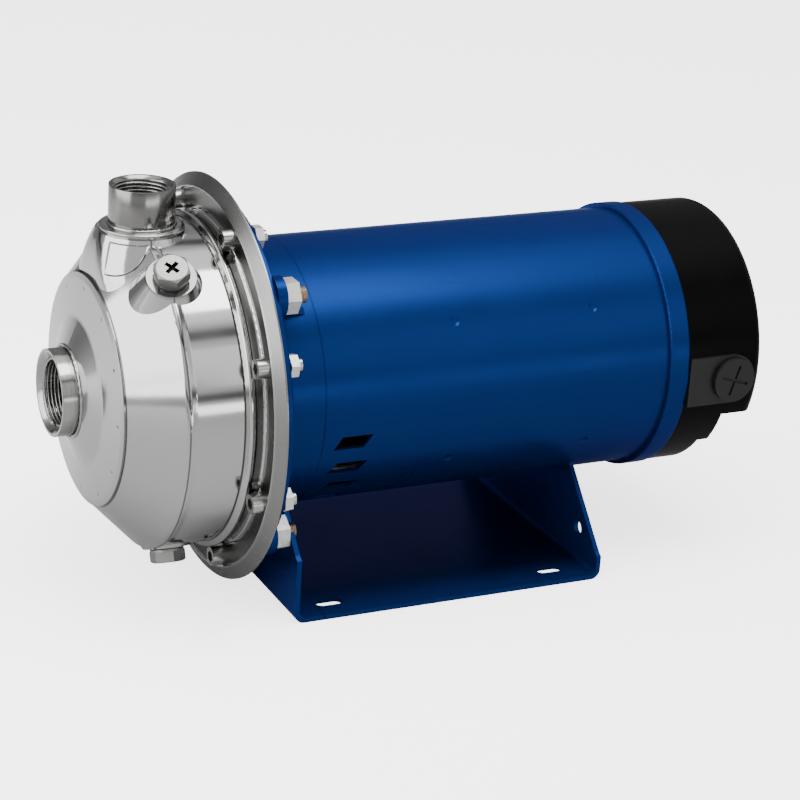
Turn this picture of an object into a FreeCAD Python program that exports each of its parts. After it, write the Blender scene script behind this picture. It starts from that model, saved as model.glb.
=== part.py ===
import FreeCAD, Part
import math
import os

import Sketcher

# A close-coupled centrifugal pump: a stamped stainless pump end on the left,
# a round motor on the right and one bent sheet base under the motor.
# X runs along the shaft towards the motor, Z is up and the origin lies on the
# underside of the base, in the middle of its four bolt slots.

os.makedirs("parts", exist_ok=True)
doc = FreeCAD.newDocument("CentrifugalPump")

# Each row is a name, a number in millimetres or degrees, and what it measures.
# A "reach" is a distance from the back of the casing flange, forwards to the
# suction side; a "back" is a distance from the same plane towards the motor.
SIZES = [
    ("shaft_height", 127.0, "shaft axis above the floor"),
    ("flange_ahead", 127.5, "flange back ahead of the slot centre"),
    ("wall", 2.0, "casing sheet"),
    ("disc_r", 70.5, "front disc edge radius"),
    ("disc_reach", 78.5, "front disc edge"),
    ("disc_rim", 3.5, "flat rim of the front disc"),
    ("disc_step", 0.9, "edge of the front disc above the cone"),
    ("dome_r", 45.0, "foot of the raised centre of the disc"),
    ("dome_reach", 84.0, "height of that foot"),
    ("nose_reach", 90.5, "where the suction boss meets the disc"),
    ("step_r", 100.0, "edge between cone and drum"),
    ("step_reach", 50.5, "place of that edge"),
    ("step_round", 4.0, "rounding of that edge"),
    ("step_back", 1.0, "drum below the crest of that edge"),
    ("bead_height", 2.1, "bead above the neck"),
    ("bead_reach", 13.5, "crest of the bead from the flange back"),
    ("bead_width", 5.0, "bead width"),
    ("neck_rise", 2.5, "neck between bead and flange, above the drum"),
    ("face_reach", 4.5, "flange front face"),
    ("lip_width", 8.5, "skirt from the raised lip to the rim"),
    ("lip_rise", 1.4, "lip above the face"),
    ("flange_width", 23.0, "flange, from the neck to the rim"),
    ("rim_edge", 1.0, "upright edge of the rim"),
    ("suction_reach", 101.5, "suction port face"),
    ("suction_r", 26.5, "suction boss"),
    ("suction_bore_r", 20.2, "suction thread, one and a quarter inch pipe"),
    ("suction_stub", 1.0, "suction boss inside the sheet"),
    ("weld_gap", 0.05, "bosses in their holes"),
    ("outlet_reach", 46.0, "discharge axis"),
    ("outlet_length", 26.7, "discharge boss"),
    ("outlet_r", 19.8, "discharge boss"),
    ("outlet_bore_r", 16.0, "discharge thread, one inch pipe"),
    ("outlet_thread", 18.0, "discharge thread length"),
    ("outlet_throat_r", 14.6, "throat below the discharge thread"),
    ("collar_r", 25.4, "discharge collar"),
    ("collar_proud", 2.5, "top of the collar above the drum"),
    ("collar_thick", 3.2, "collar thickness"),
    ("shoulder_top_r", 27.0, "shoulder under the collar"),
    ("shoulder_r", 31.0, "shoulder along the shaft"),
    ("shoulder_waist", 33.0, "shoulder half width at its waist"),
    ("shoulder_waist_rise", 84.0, "height of the waist"),
    ("shoulder_foot", 60.0, "shoulder half width at its foot"),
    ("shoulder_foot_rise", 34.0, "height of the foot"),
    ("fill_proud", 3.0, "fill plug seat above the drum"),
    ("fill_reach", 47.5, "fill plug seat"),
    ("fill_tilt", 33.0, "fill plug from straight up"),
    ("fill_lean", 10.0, "fill plug forwards"),
    ("fill_cross", 9.5, "cross recess of the fill plug, end to end"),
    ("fill_cross_turn", 36.0, "cross recess of the fill plug, turned"),
    ("fill_cross_width", 2.6, "cross recess of the fill plug"),
    ("fill_cross_depth", 2.4, "cross recess of the fill plug"),
    ("drain_proud", 0.8, "drain plug seat above the drum"),
    ("drain_reach", 39.0, "drain plug seat"),
    ("drain_tilt", 158.0, "drain plug from straight up"),
    ("drain_lean", 0.0, "drain plug forwards"),
    ("pad_r", 14.5, "flat pad under a plug"),
    ("pad_depth", 22.0, "pad down into the casing"),
    ("pad_slope", 30.0, "slope of the pad's flank"),
    ("plug_bore_r", 7.6, "plug hole"),
    ("plug_gap", 0.05, "running gap of a plug in its hole"),
    ("plug_flats", 19.0, "plug hexagon across flats"),
    ("plug_head", 7.0, "plug hexagon height"),
    ("plug_shank", 7.0, "plug shank length"),
    ("washer_r", 10.4, "plug washer"),
    ("washer_thick", 1.0, "plug washer thickness"),
    ("gasket_thick", 1.0, "casing gasket"),
    ("plate_thick", 3.0, "seal housing sheet"),
    ("plate_gap", 2.5, "seal housing plate inside the lip"),
    ("cup_r", 24.0, "seal cup outside"),
    ("cup_wall", 3.0, "seal cup wall"),
    ("cup_depth", 10.5, "seal cup behind the plate"),
    ("screw_inset", 7.5, "flange screws from the neck"),
    ("screw_count", 8.0, "number of flange screws"),
    ("screw_r", 3.9, "flange screw shank"),
    ("screw_hole_r", 4.3, "flange screw hole"),
    ("screw_head_r", 5.9, "flange screw head"),
    ("screw_head", 7.9, "flange screw head height"),
    ("screw_socket", 6.2, "socket across flats"),
    ("screw_nut_flats", 12.7, "flange nut across flats"),
    ("screw_nut", 5.0, "flange nut height"),
    ("screw_tail", 3.0, "screw beyond its nut"),
    ("adapter_thick", 6.0, "adapter plate"),
    ("adapter_edge", 1.4, "adapter plate outside the screw holes"),
    ("adapter_bore_r", 68.0, "opening of the adapter plate"),
    ("adapter_wall", 6.0, "adapter barrel wall"),
    ("lug_inset", 3.5, "adapter studs inside the screw circle"),
    ("lug_count", 4.0, "number of adapter lugs"),
    ("lug_r", 12.5, "adapter lug"),
    ("lug_back", 12.5, "nut face of a lug"),
    ("rib_height", 13.0, "gusset height over the barrel"),
    ("rib_thick", 5.0, "gusset thickness"),
    ("rib_back", 35.0, "end of a gusset"),
    ("stud_r", 4.9, "adapter stud"),
    ("stud_tail", 6.0, "stud beyond its nut"),
    ("lug_nut_flats", 19.0, "adapter nut across flats"),
    ("lug_nut", 9.0, "adapter nut height"),
    ("barrel_r", 82.5, "motor shell outside"),
    ("shell_front", 41.5, "front edge of the shell, back"),
    ("shell_rear", 275.0, "rear edge of the shell, back"),
    ("shell_wall", 2.8, "motor shell sheet"),
    ("spigot", 5.0, "spigot length in the shell"),
    ("spigot_wall", 4.0, "spigot wall"),
    ("spigot_gap", 0.1, "spigot clearance"),
    ("vent_front", 49.0, "vent windows, back"),
    ("vent_length", 25.0, "vent window along the shaft"),
    ("vent_width", 9.0, "vent window height"),
    ("vent_slant", 5.0, "slant of a vent window's ends"),
    ("vent_first", 14.0, "first window below the shaft level"),
    ("vent_sweep", 42.0, "from the first window to the last"),
    ("vent_count", 4.0, "windows on one side"),
    ("band_r", 85.5, "rear end bell band"),
    ("band_rear", 289.0, "rear edge of the band, back"),
    ("web_thick", 5.0, "end bell web"),
    ("cover_r", 84.5, "rear cover"),
    ("cover_rear", 343.5, "rear face of the cover, back"),
    ("cover_wall", 2.6, "rear cover wall"),
    ("cover_round", 7.0, "rounded rear edge"),
    ("notch_one_rear", 320.5, "upper notch floor, back"),
    ("notch_one_drop", 32.0, "upper notch below the shaft axis"),
    ("notch_two_rear", 313.0, "lower notch floor, back"),
    ("notch_two_drop", 54.0, "lower notch below the shaft axis"),
    ("entry_back", 320.5, "conduit plug axis, back"),
    ("entry_drop", 5.0, "conduit plug below the shaft axis"),
    ("entry_r", 16.0, "rounded end of the conduit plate"),
    ("entry_face", 86.2, "conduit plate face from the shaft axis"),
    ("entry_depth", 8.0, "conduit plate thickness"),
    ("entry_gap", 0.1, "conduit plate in the cover"),
    ("entry_deep", 24.0, "opening for the conduit plate, inwards"),
    ("entry_bore_r", 10.4, "conduit thread, half inch"),
    ("entry_cap_r", 14.4, "conduit plug head"),
    ("entry_cap", 2.4, "conduit plug head height"),
    ("entry_shank", 9.0, "conduit plug shank"),
    ("entry_ring", 0.8, "conduit plug gasket"),
    ("cross_width", 1.8, "cross slot"),
    ("cross_length", 20.0, "cross slot, end to end"),
    ("cross_depth", 1.2, "cross slot depth"),
    ("cross_turn", 72.0, "cross slot, turned"),
    ("journal_r", 8.5, "bearing bore"),
    ("bearing_r", 20.0, "bearing outside"),
    ("bearing_width", 12.0, "bearing width"),
    ("ball_r", 3.375, "bearing ball"),
    ("ball_circle_r", 14.25, "ball pitch circle"),
    ("ball_count", 8.0, "balls in a bearing"),
    ("race_gap", 0.08, "ball in its race"),
    ("ring_depth", 3.2, "bearing ring thickness"),
    ("fit_gap", 0.02, "rings on their seats"),
    ("front_bearing", 26.0, "front bearing, back"),
    ("rear_bearing", 262.5, "rear bearing, back"),
    ("spring_washer", 1.0, "washer behind the rear bearing"),
    ("hub_wall", 6.0, "wall round a bearing"),
    ("shaft_r", 7.9, "shaft through the seal"),
    ("shaft_body_r", 10.5, "shaft between the bearings"),
    ("core_bore_r", 11.5, "rotor seat"),
    ("stub_r", 6.3, "shaft in the impeller"),
    ("stub_reach", 47.0, "end of the stub"),
    ("thread_r", 4.8, "impeller nut thread"),
    ("thread_reach", 60.0, "front end of the shaft"),
    ("tail_r", 7.0, "shaft tail"),
    ("tail_back", 292.0, "rear end of the shaft"),
    ("key_side", 3.2, "impeller key"),
    ("key_length", 11.0, "impeller key length"),
    ("core_front", 112.0, "stator and rotor core, back"),
    ("core_length", 88.0, "core length"),
    ("stator_bore_r", 42.3, "stator bore"),
    ("air_gap", 0.4, "rotor to stator"),
    ("winding_in_r", 47.0, "winding inside"),
    ("winding_out_r", 66.5, "winding outside"),
    ("winding_length", 24.0, "end turns of the winding"),
    ("tie_circle_r", 70.0, "through bolts"),
    ("tie_r", 2.4, "through bolt"),
    ("tie_gap", 0.3, "through bolt in its hole"),
    ("end_ring", 8.0, "rotor end ring"),
    ("blade_height", 9.0, "rotor fan blade"),
    ("blade_count", 8.0, "rotor fan blades"),
    ("impeller_r", 62.0, "impeller"),
    ("impeller_back", 35.0, "back of the rear shroud, reach"),
    ("impeller_width", 9.0, "passage between the shrouds"),
    ("shroud", 2.0, "impeller shroud"),
    ("eye_r", 20.5, "impeller eye"),
    ("eye_reach", 62.0, "front of the impeller eye"),
    ("hub_r", 12.5, "impeller hub"),
    ("hub_back", 32.0, "back of the hub, reach"),
    ("vane_in_r", 24.0, "vane inlet"),
    ("vane_out_r", 60.5, "vane outlet"),
    ("vane_angle_in", 22.0, "vane inlet angle"),
    ("vane_angle_out", 28.0, "vane outlet angle"),
    ("vane_thick", 2.0, "vane"),
    ("vane_count", 6.0, "impeller vanes"),
    ("wear_gap", 0.35, "impeller neck in the wear ring"),
    ("wear_thick", 3.0, "wear ring"),
    ("guide_gap", 4.0, "diffuser rim inside the drum"),
    ("guide_wall", 2.0, "diffuser sheet"),
    ("guide_reach", 55.0, "diffuser front"),
    ("guide_count", 7.0, "guide vanes"),
    ("guide_in_r", 66.0, "guide vane inlet"),
    ("guide_in_angle", 30.0, "guide vane at its inlet"),
    ("guide_out_angle", 12.0, "guide vane at its outlet"),
    ("window_margin", 7.0, "windows of the diffuser from its ends"),
    ("window_width", 18.0, "windows of the diffuser"),
    ("seat_thick", 6.5, "seal seat"),
    ("seat_in_r", 9.2, "seal seat bore"),
    ("seal_head_r", 17.5, "seal head"),
    ("seal_head", 13.0, "seal head length"),
    ("coil_r", 14.0, "seal spring"),
    ("coil_wire_r", 0.9, "seal spring wire"),
    ("coil_turns", 4.0, "seal spring turns"),
    ("holder_thick", 1.6, "seal spring holder"),
    ("nut_flats", 15.0, "impeller nut across flats"),
    ("nut_height", 8.0, "impeller nut height"),
    ("nut_washer", 1.5, "impeller washer"),
    ("slinger_r", 26.0, "water slinger"),
    ("slinger_back", 15.0, "slinger, back"),
    ("slinger_thick", 4.0, "slinger thickness"),
    ("governor_back", 222.0, "governor, back"),
    ("governor_r", 27.0, "governor"),
    ("governor_length", 14.0, "governor length"),
    ("collar_travel", 3.0, "travel of the governor collar"),
    ("slide_r", 17.0, "governor collar"),
    ("slide_length", 8.0, "governor collar length"),
    ("slide_gap", 0.06, "collar on the shaft"),
    ("switch_width", 26.0, "start switch"),
    ("switch_height", 40.0, "start switch"),
    ("switch_thick", 9.0, "start switch"),
    ("can_r", 18.0, "start capacitor"),
    ("can_length", 84.0, "start capacitor"),
    ("can_rise", 40.0, "capacitor above the shaft axis"),
    ("can_back", 314.0, "capacitor axis, back"),
    ("strap", 1.2, "capacitor clip"),
    ("strap_width", 18.0, "capacitor clip width"),
    ("base_clear", 22.0, "front end of the base behind the flange"),
    ("base_rear", 103.5, "rear end of the base behind the slot centre"),
    ("base_half", 95.0, "half width of the base"),
    ("base_sheet", 3.0, "base sheet"),
    ("bend_r", 3.5, "inside radius of the bends"),
    ("slot_across", 156.0, "slots across the shaft"),
    ("slot_along", 152.0, "slots along the shaft"),
    ("slot_width", 9.0, "slot width"),
    ("slot_length", 18.0, "slot length"),
    ("front_cheek", 40.0, "upright part of the front end's edge"),
    ("front_lean", 60.0, "where the front edge meets the shell, below the shaft axis"),
    ("rear_cheek", 14.0, "upright part of the rear end's edge"),
    ("rear_lean", 66.0, "where the rear edge meets the shell, below the shaft axis"),
    ("front_top_half", 69.0, "half width of the front end there"),
    ("rear_top_half", 50.0, "half width of the rear end there"),
    ("cradle_gap", 0.05, "shell in its cradle"),
    ("earth_r", 4.5, "earth hole"),
    ("earth_across", 68.0, "earth hole beside the middle"),
    ("earth_rise", 24.0, "earth hole above the floor"),
    ("cover_screw_circle_r", 62.0, "cover screws"),
    ("cover_screw_lift", 15.0, "cover screws above the shaft level, degrees"),
    ("cover_screw_r", 2.4, "cover screw"),
    ("cover_screw_head_r", 4.6, "cover screw head"),
    ("board_thick", 4.0, "terminal board"),
    ("board_width", 30.0, "terminal board"),
    ("board_height", 46.0, "terminal board"),
    ("board_aside", 25.0, "terminal board beside the shaft"),
]

sheet = doc.addObject("Spreadsheet::Sheet", "Sizes")
for row, (alias, number, meaning) in enumerate(SIZES, start=1):
    sheet.set("A%d" % row, meaning)
    sheet.set("B%d" % row, str(number))
    sheet.setAlias("B%d" % row, alias)
doc.recompute()


class Size:
    """A length or an angle: its number, and the words that give it from the sheet."""

    def __init__(self, number, words):
        self.number = float(number)
        self.words = words

    def __add__(self, other):
        other = as_size(other)
        return Size(self.number + other.number, "(%s + %s)" % (self.words, other.words))

    def __sub__(self, other):
        other = as_size(other)
        return Size(self.number - other.number, "(%s - %s)" % (self.words, other.words))

    def __mul__(self, other):
        other = as_size(other)
        return Size(self.number * other.number, "(%s * %s)" % (self.words, other.words))

    def __truediv__(self, other):
        other = as_size(other)
        return Size(self.number / other.number, "(%s / %s)" % (self.words, other.words))

    def __neg__(self):
        return Size(-self.number, "(0 - %s)" % self.words)

    __radd__ = __add__
    __rmul__ = __mul__


def as_size(value):
    """A plain number as a Size."""
    if isinstance(value, Size):
        return value
    if value < 0:
        return Size(value, "(0 - %r)" % -float(value))
    return Size(value, "%r" % float(value))


def root(value):
    return Size(math.sqrt(value.number), "sqrt(%s)" % value.words)


def cosine(angle):
    angle = as_size(angle)
    return Size(math.cos(math.radians(angle.number)), "cos(%s)" % angle.words)


def sine(angle):
    angle = as_size(angle)
    return Size(math.sin(math.radians(angle.number)), "sin(%s)" % angle.words)


# Places that follow from the driving sizes, each by its own rule.
FOLLOWERS = {
    "drum_r": lambda: S.step_r - S.step_back,
    "neck_r": lambda: S.drum_r + S.neck_rise,
    "bead_r": lambda: S.neck_r + S.bead_height,
    "flange_r": lambda: S.neck_r + S.flange_width,
    "lip_r": lambda: S.flange_r - S.lip_width,
    "plate_r": lambda: S.lip_r - S.plate_gap,
    "screw_circle_r": lambda: S.neck_r + S.screw_inset,
    "lug_circle_r": lambda: S.screw_circle_r - S.lug_inset,
    "adapter_r": lambda: S.screw_circle_r + S.screw_hole_r + S.adapter_edge,
    "guide_r": lambda: S.drum_r - S.wall - S.guide_gap,
    "guide_out_r": lambda: S.guide_r - S.guide_wall / 4 * 3,
    "collar_rise": lambda: S.drum_r + S.collar_proud,
    "outlet_rise": lambda: S.collar_rise - S.collar_thick + S.outlet_length,
    "base_front": lambda: S.flange_ahead - S.base_clear,
}


class Sheet:
    """Reads a named size from the sheet, or a place that follows from the sizes."""

    def __getattr__(self, alias):
        if alias in FOLLOWERS:
            return FOLLOWERS[alias]()
        return Size(sheet.get(alias), "Sizes." + alias)


S = Sheet()
HALF_TURN = as_size(180)
HALF = "half"


def bind(thing, property_name, size):
    """Ties one property of an object to the sheet."""
    thing.setExpression(property_name, as_size(size).words)


def turn_to(thing, property_name, tilt, lean):
    """Tips something by tilt about the shaft's direction, then forwards by lean."""
    words = "rotationx(%s) * rotationy(0 - %s)" % (as_size(tilt).words, as_size(lean).words)
    thing.setExpression(property_name, words)


def piece(name, along=None, across=0, up=None, tilt=0, lean=0):
    """A new body on the shaft axis, at the back of the casing flange."""
    body = doc.addObject("PartDesign::Body", name)
    body.Label = name
    body.AllowCompound = True
    if as_size(tilt).number:
        turn_to(body, "Placement.Rotation", tilt, lean)
    bind(body, "Placement.Base.x", -S.flange_ahead if along is None else along)
    bind(body, "Placement.Base.y", across)
    bind(body, "Placement.Base.z", S.shaft_height if up is None else up)
    return body


def draw(body, plane, offset=0, spin=None):
    """An empty sketch on one of the body's own planes, moved along its normal."""
    drawing = body.newObject("Sketcher::SketchObject", "drawing")
    support = next(f for f in body.Origin.OriginFeatures if f.Role == plane)
    drawing.AttachmentSupport = [(support, "")]
    drawing.MapMode = "FlatFace"
    if spin is not None:
        turn = FreeCAD.Rotation(FreeCAD.Vector(1, 0, 0), spin.number)
        drawing.AttachmentOffset = FreeCAD.Placement(FreeCAD.Vector(), turn)
        bind(drawing, "AttachmentOffset.Rotation.Angle", spin)
    bind(drawing, "AttachmentOffset.Base.z", offset)
    return drawing


def plug_seat(body, rise, reach, tilt, lean):
    """An empty sketch on the seat of a plug, facing outwards along the plug."""
    drawing = draw(body, "XY_Plane", rise * cosine(tilt))
    bind(drawing, "AttachmentOffset.Base.x", -reach)
    bind(drawing, "AttachmentOffset.Base.y", -(rise * sine(tilt)))
    turn_to(drawing, "AttachmentOffset.Rotation", tilt, lean)
    return drawing


def pin(drawing, geometry, position, across, up):
    """Holds one point of the sketch at a place given by the sheet."""
    for kind, size in (("DistanceX", across), ("DistanceY", up)):
        size = as_size(size)
        rule = Sketcher.Constraint(kind, -1, 1, geometry, position, size.number)
        index = drawing.addConstraint(rule)
        bind(drawing, "Constraints[%d]" % index, size)


def disc(drawing, across, up, radius):
    """A circle at a place given by the sheet."""
    across, up, radius = as_size(across), as_size(up), as_size(radius)
    centre = FreeCAD.Vector(across.number, up.number, 0)
    ring = Part.Circle(centre, FreeCAD.Vector(0, 0, 1), radius.number)
    geometry = drawing.addGeometry(ring, False)
    pin(drawing, geometry, 3, across, up)
    index = drawing.addConstraint(Sketcher.Constraint("Radius", geometry, radius.number))
    bind(drawing, "Constraints[%d]" % index, radius)


def arc_between(start, end, centre, leftwards):
    """The arc from start to end round a centre, and which end of it is its first."""
    first, last = (start, end) if leftwards else (end, start)
    low = math.atan2(first.y - centre.y, first.x - centre.x)
    high = math.atan2(last.y - centre.y, last.x - centre.x)
    if high <= low:
        high += 2 * math.pi
    radius = (start - centre).Length
    circle = Part.Circle(centre, FreeCAD.Vector(0, 0, 1), radius)
    return Part.ArcOfCircle(circle, low, high)


def outline(drawing, corners, bows=None):
    """Draws one closed loop, every corner held by the sheet.

    A corner is (across, up) or (across, up, rounding). bows maps an edge's
    number to (radius, side) for an arc, side 1 with its centre on the left and
    -1 on the right; the radius HALF makes a half circle.
    """
    bows = bows or {}
    count = len(corners)
    corners = [tuple(as_size(value) for value in corner) for corner in corners]
    points = [FreeCAD.Vector(c[0].number, c[1].number, 0) for c in corners]
    before, after, centres, turns = [], [], [], []
    for k in range(count):
        arrive = (points[k] - points[k - 1]).normalize()
        leave = (points[(k + 1) % count] - points[k]).normalize()
        cross = arrive.x * leave.y - arrive.y * leave.x
        turns.append(cross > 0)
        if len(corners[k]) == 2:
            before.append(points[k])
            after.append(points[k])
            centres.append(None)
            continue
        rounding = corners[k][2].number
        bend = math.acos(max(-1, min(1, arrive.dot(leave))))
        trim = rounding * math.tan(bend / 2)
        before.append(points[k] - arrive * trim)
        after.append(points[k] + leave * trim)
        left = FreeCAD.Vector(-arrive.y, arrive.x, 0)
        side = 1 if cross > 0 else -1
        centres.append(before[k] + left * (rounding * side))
    edges, starts, ends = [], [], []
    for k in range(count):
        following = (k + 1) % count
        if k in bows:
            radius, side = bows[k]
            chord = points[following] - points[k]
            middle = (points[following] + points[k]) * 0.5
            left = FreeCAD.Vector(-chord.y, chord.x, 0).normalize()
            if radius == HALF:
                centre = middle
            else:
                sag = math.sqrt(as_size(radius).number ** 2 - (chord.Length / 2) ** 2)
                centre = middle + left * (sag * side)
            shape = arc_between(points[k], points[following], centre, side > 0)
            starts.append(1 if side > 0 else 2)
            ends.append(2 if side > 0 else 1)
        else:
            shape = Part.LineSegment(after[k], before[following])
            starts.append(1)
            ends.append(2)
        edges.append(drawing.addGeometry(shape, False))
    for k in range(count):
        previous, current = edges[k - 1], edges[k]
        if centres[k] is None:
            drawing.addConstraint(
                Sketcher.Constraint("Coincident", previous, ends[k - 1], current, starts[k])
            )
            pin(drawing, current, starts[k], corners[k][0], corners[k][1])
            continue
        curve = arc_between(before[k], after[k], centres[k], turns[k])
        arc = drawing.addGeometry(curve, False)
        corner = drawing.addGeometry(Part.Point(points[k]), True)
        pin(drawing, corner, 1, corners[k][0], corners[k][1])
        first, last = (1, 2) if turns[k] else (2, 1)
        drawing.addConstraint(
            [
                Sketcher.Constraint("Tangent", previous, ends[k - 1], arc, first),
                Sketcher.Constraint("Tangent", arc, last, current, starts[k]),
                Sketcher.Constraint("PointOnObject", corner, 1, previous),
                Sketcher.Constraint("PointOnObject", corner, 1, current),
            ]
        )
        rule = Sketcher.Constraint("Radius", arc, corners[k][2].number)
        index = drawing.addConstraint(rule)
        bind(drawing, "Constraints[%d]" % index, corners[k][2])
    for k, (radius, _side) in bows.items():
        following = (k + 1) % count
        if radius != HALF:
            rule = Sketcher.Constraint("Radius", edges[k], as_size(radius).number)
            index = drawing.addConstraint(rule)
            bind(drawing, "Constraints[%d]" % index, radius)
            continue
        chord = points[following] - points[k]
        upright = abs(chord.y) > abs(chord.x)
        axis = 0 if upright else 1
        middle = (corners[k][axis] + corners[following][axis]) / 2
        kind = "DistanceX" if upright else "DistanceY"
        rule = Sketcher.Constraint(kind, -1, 1, edges[k], 3, middle.number)
        index = drawing.addConstraint(rule)
        bind(drawing, "Constraints[%d]" % index, middle)


def box_outline(drawing, low_across, high_across, low_up, high_up):
    """A rectangle between four values."""
    outline(
        drawing,
        [(low_across, low_up), (high_across, low_up), (high_across, high_up), (low_across, high_up)],
    )


def slot(drawing, across, up, length, width, angle):
    """A straight slot's outline, centred on a point and turned by an angle."""
    along, beside = cosine(angle), sine(angle)
    outline(
        drawing,
        [
            (along * x - beside * y + across, beside * x + along * y + up)
            for x, y in (
                (-length / 2, -width / 2), (length / 2, -width / 2),
                (length / 2, width / 2), (-length / 2, width / 2),
            )
        ],
    )


def feature(body, kind, drawing):
    made = body.newObject("PartDesign::" + kind, kind)
    made.Profile = drawing
    return made


def turned(body, corners, bows=None, axis="H_Axis", cut=False):
    """A profile turned once round the shaft, or round the body's upright axis."""
    drawing = draw(body, "XZ_Plane")
    outline(drawing, corners, bows)
    made = feature(body, "Groove" if cut else "Revolution", drawing)
    made.ReferenceAxis = (drawing, [axis])
    made.Angle = 360
    body.Tip = made
    return made


def raised(body, drawing, length, both_ways=False, reverse=False):
    made = feature(body, "Pad", drawing)
    bind(made, "Length", length)
    made.SideType = "Symmetric" if both_ways else "One side"
    made.Reversed = reverse
    body.Tip = made
    return made


def cut(body, drawing, length=None, reverse=False):
    """A pocket to a depth, or right through both ways when no depth is given."""
    made = feature(body, "Pocket", drawing)
    if length is None:
        made.Type = "ThroughAll"
        made.SideType = "Symmetric"
    else:
        bind(made, "Length", length)
        made.Reversed = reverse
    body.Tip = made
    return made


def ring_of(body, features, count, sweep=360):
    """Repeats features round the shaft."""
    around = body.newObject("PartDesign::PolarPattern", "around")
    around.Originals = features
    axis = next(f for f in body.Origin.OriginFeatures if f.Role == "X_Axis")
    around.Axis = (axis, [""])
    bind(around, "Angle", sweep)
    bind(around, "Occurrences", count)
    body.Tip = around
    return around


def hexagon(drawing, across, up, flats):
    """A hexagon with two corners on the sketch's upright line."""
    corner_r = as_size(flats) / math.sqrt(3)
    loop = [
        (corner_r * sine(60 * k) + across, corner_r * cosine(60 * k) + up)
        for k in range(6)
    ]
    outline(drawing, loop)


def on_circle(radius, angle):
    """Across and up of a point on a circle round the shaft, seen along it."""
    return radius * cosine(angle), radius * sine(angle)


def casing_sections(inset):
    """The discharge shoulder's sections: height, half length and half width."""
    return [
        (S.collar_rise - S.collar_thick, S.shoulder_top_r - inset, S.shoulder_top_r - inset),
        (S.shoulder_waist_rise, S.shoulder_r - inset, S.shoulder_waist - inset),
        (
            (S.shoulder_waist_rise + S.shoulder_foot_rise) / 2,
            S.shoulder_r - inset,
            (S.shoulder_waist + S.shoulder_foot) / 2 - inset,
        ),
        (S.shoulder_foot_rise, S.shoulder_r - inset, S.shoulder_foot - inset),
    ]


def shoulder(body, kind, inset):
    """Lofts the shoulder from the collar down into the cone."""
    drawings = []
    for rise, half_length, half_width in casing_sections(inset):
        drawing = draw(body, "XY_Plane", rise)
        round_off = S.shoulder_top_r - inset - 1
        outline(
            drawing,
            [
                (-S.outlet_reach - half_length, -half_width, round_off),
                (-S.outlet_reach + half_length, -half_width, round_off),
                (-S.outlet_reach + half_length, half_width, round_off),
                (-S.outlet_reach - half_length, half_width, round_off),
            ],
        )
        drawings.append(drawing)
    made = feature(body, kind, drawings[0])
    made.Sections = drawings[1:]
    body.Tip = made
    return made


PLUGS = {
    "fill_plug": (S.drum_r + S.fill_proud, S.fill_reach, S.fill_tilt, S.fill_lean),
    "drain_plug": (S.drum_r + S.drain_proud, S.drain_reach, S.drain_tilt, S.drain_lean),
}


def make_casing():
    """The drawn stainless shell with disc, cone, drum, bead, flange and shoulder."""
    body = piece("casing")
    half_bead = S.bead_width / 2
    outer = [
        (-S.nose_reach, 0),
        (-S.nose_reach, S.suction_r + 2, 3),
        (-S.dome_reach, S.dome_r, 12),
        (-S.disc_reach - S.disc_step - 1, S.disc_r - S.disc_rim, 6),
        (-S.disc_reach - S.disc_step, S.disc_r, 0.4),
        (-S.disc_reach, S.disc_r),
        (-S.step_reach, S.step_r, S.step_round),
        (-S.step_reach + 5, S.drum_r, 6),
        (-S.bead_reach - half_bead, S.drum_r, 1.2),
        (-S.bead_reach, S.bead_r, 1.6),
        (-S.bead_reach + half_bead, S.neck_r, 1.2),
        (-S.face_reach, S.neck_r, 1.5),
        (-S.face_reach, S.lip_r - 1, 0.5),
        (-S.face_reach - S.lip_rise, S.lip_r, 0.7),
        (-S.rim_edge, S.flange_r, 0.6),
        (0, S.flange_r),
        (0, S.flange_r - S.wall),
        (-S.face_reach + S.wall, S.lip_r),
        (-S.face_reach + S.wall, 0),
    ]
    turned(body, outer)
    shoulder(body, "AdditiveLoft", as_size(0))
    for place in PLUGS.values():
        drawing = plug_seat(body, *place)
        disc(drawing, 0, 0, S.pad_r)
        pad = raised(body, drawing, S.pad_depth, reverse=True)
        bind(pad, "TaperAngle", S.pad_slope)
    w = S.wall
    inner = [
        (-S.nose_reach + w, 0),
        (-S.nose_reach + w, S.suction_r + 1, 2),
        (-S.dome_reach + w, S.dome_r - 1, 12),
        (-S.disc_reach - 1 + w, S.disc_r - S.disc_rim - 1, 4),
        (-S.disc_reach + w + 1, S.disc_r - w),
        (-S.step_reach + w, S.step_r - w, S.step_round - 1),
        (-S.step_reach + 5 + w, S.drum_r - w, 6),
        (-S.face_reach + w, S.drum_r - w),
        (-S.face_reach + w, 0),
    ]
    turned(body, inner, cut=True)
    shoulder(body, "SubtractiveLoft", S.wall)
    for place in PLUGS.values():
        drawing = plug_seat(body, *place)
        disc(drawing, 0, 0, S.plug_bore_r)
        cut(body, drawing, S.pad_depth + 5)
    drawing = draw(body, "XY_Plane", 0)
    disc(drawing, -S.outlet_reach, 0, S.outlet_throat_r)
    cut(body, drawing, S.collar_rise + 5, reverse=True)
    drawing = draw(body, "XY_Plane", S.collar_rise - S.collar_thick)
    disc(drawing, -S.outlet_reach, 0, S.collar_r + S.weld_gap)
    cut(body, drawing, 6, reverse=True)
    drawing = draw(body, "YZ_Plane", 0)
    disc(drawing, 0, 0, S.suction_r + S.weld_gap)
    cut(body, drawing, S.suction_reach)
    drawing = draw(body, "YZ_Plane", 0)
    across, up = on_circle(S.screw_circle_r, HALF_TURN / S.screw_count)
    disc(drawing, across, up, S.screw_hole_r)
    hole = cut(body, drawing, S.face_reach + 5)
    ring_of(body, [hole], S.screw_count)


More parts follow.
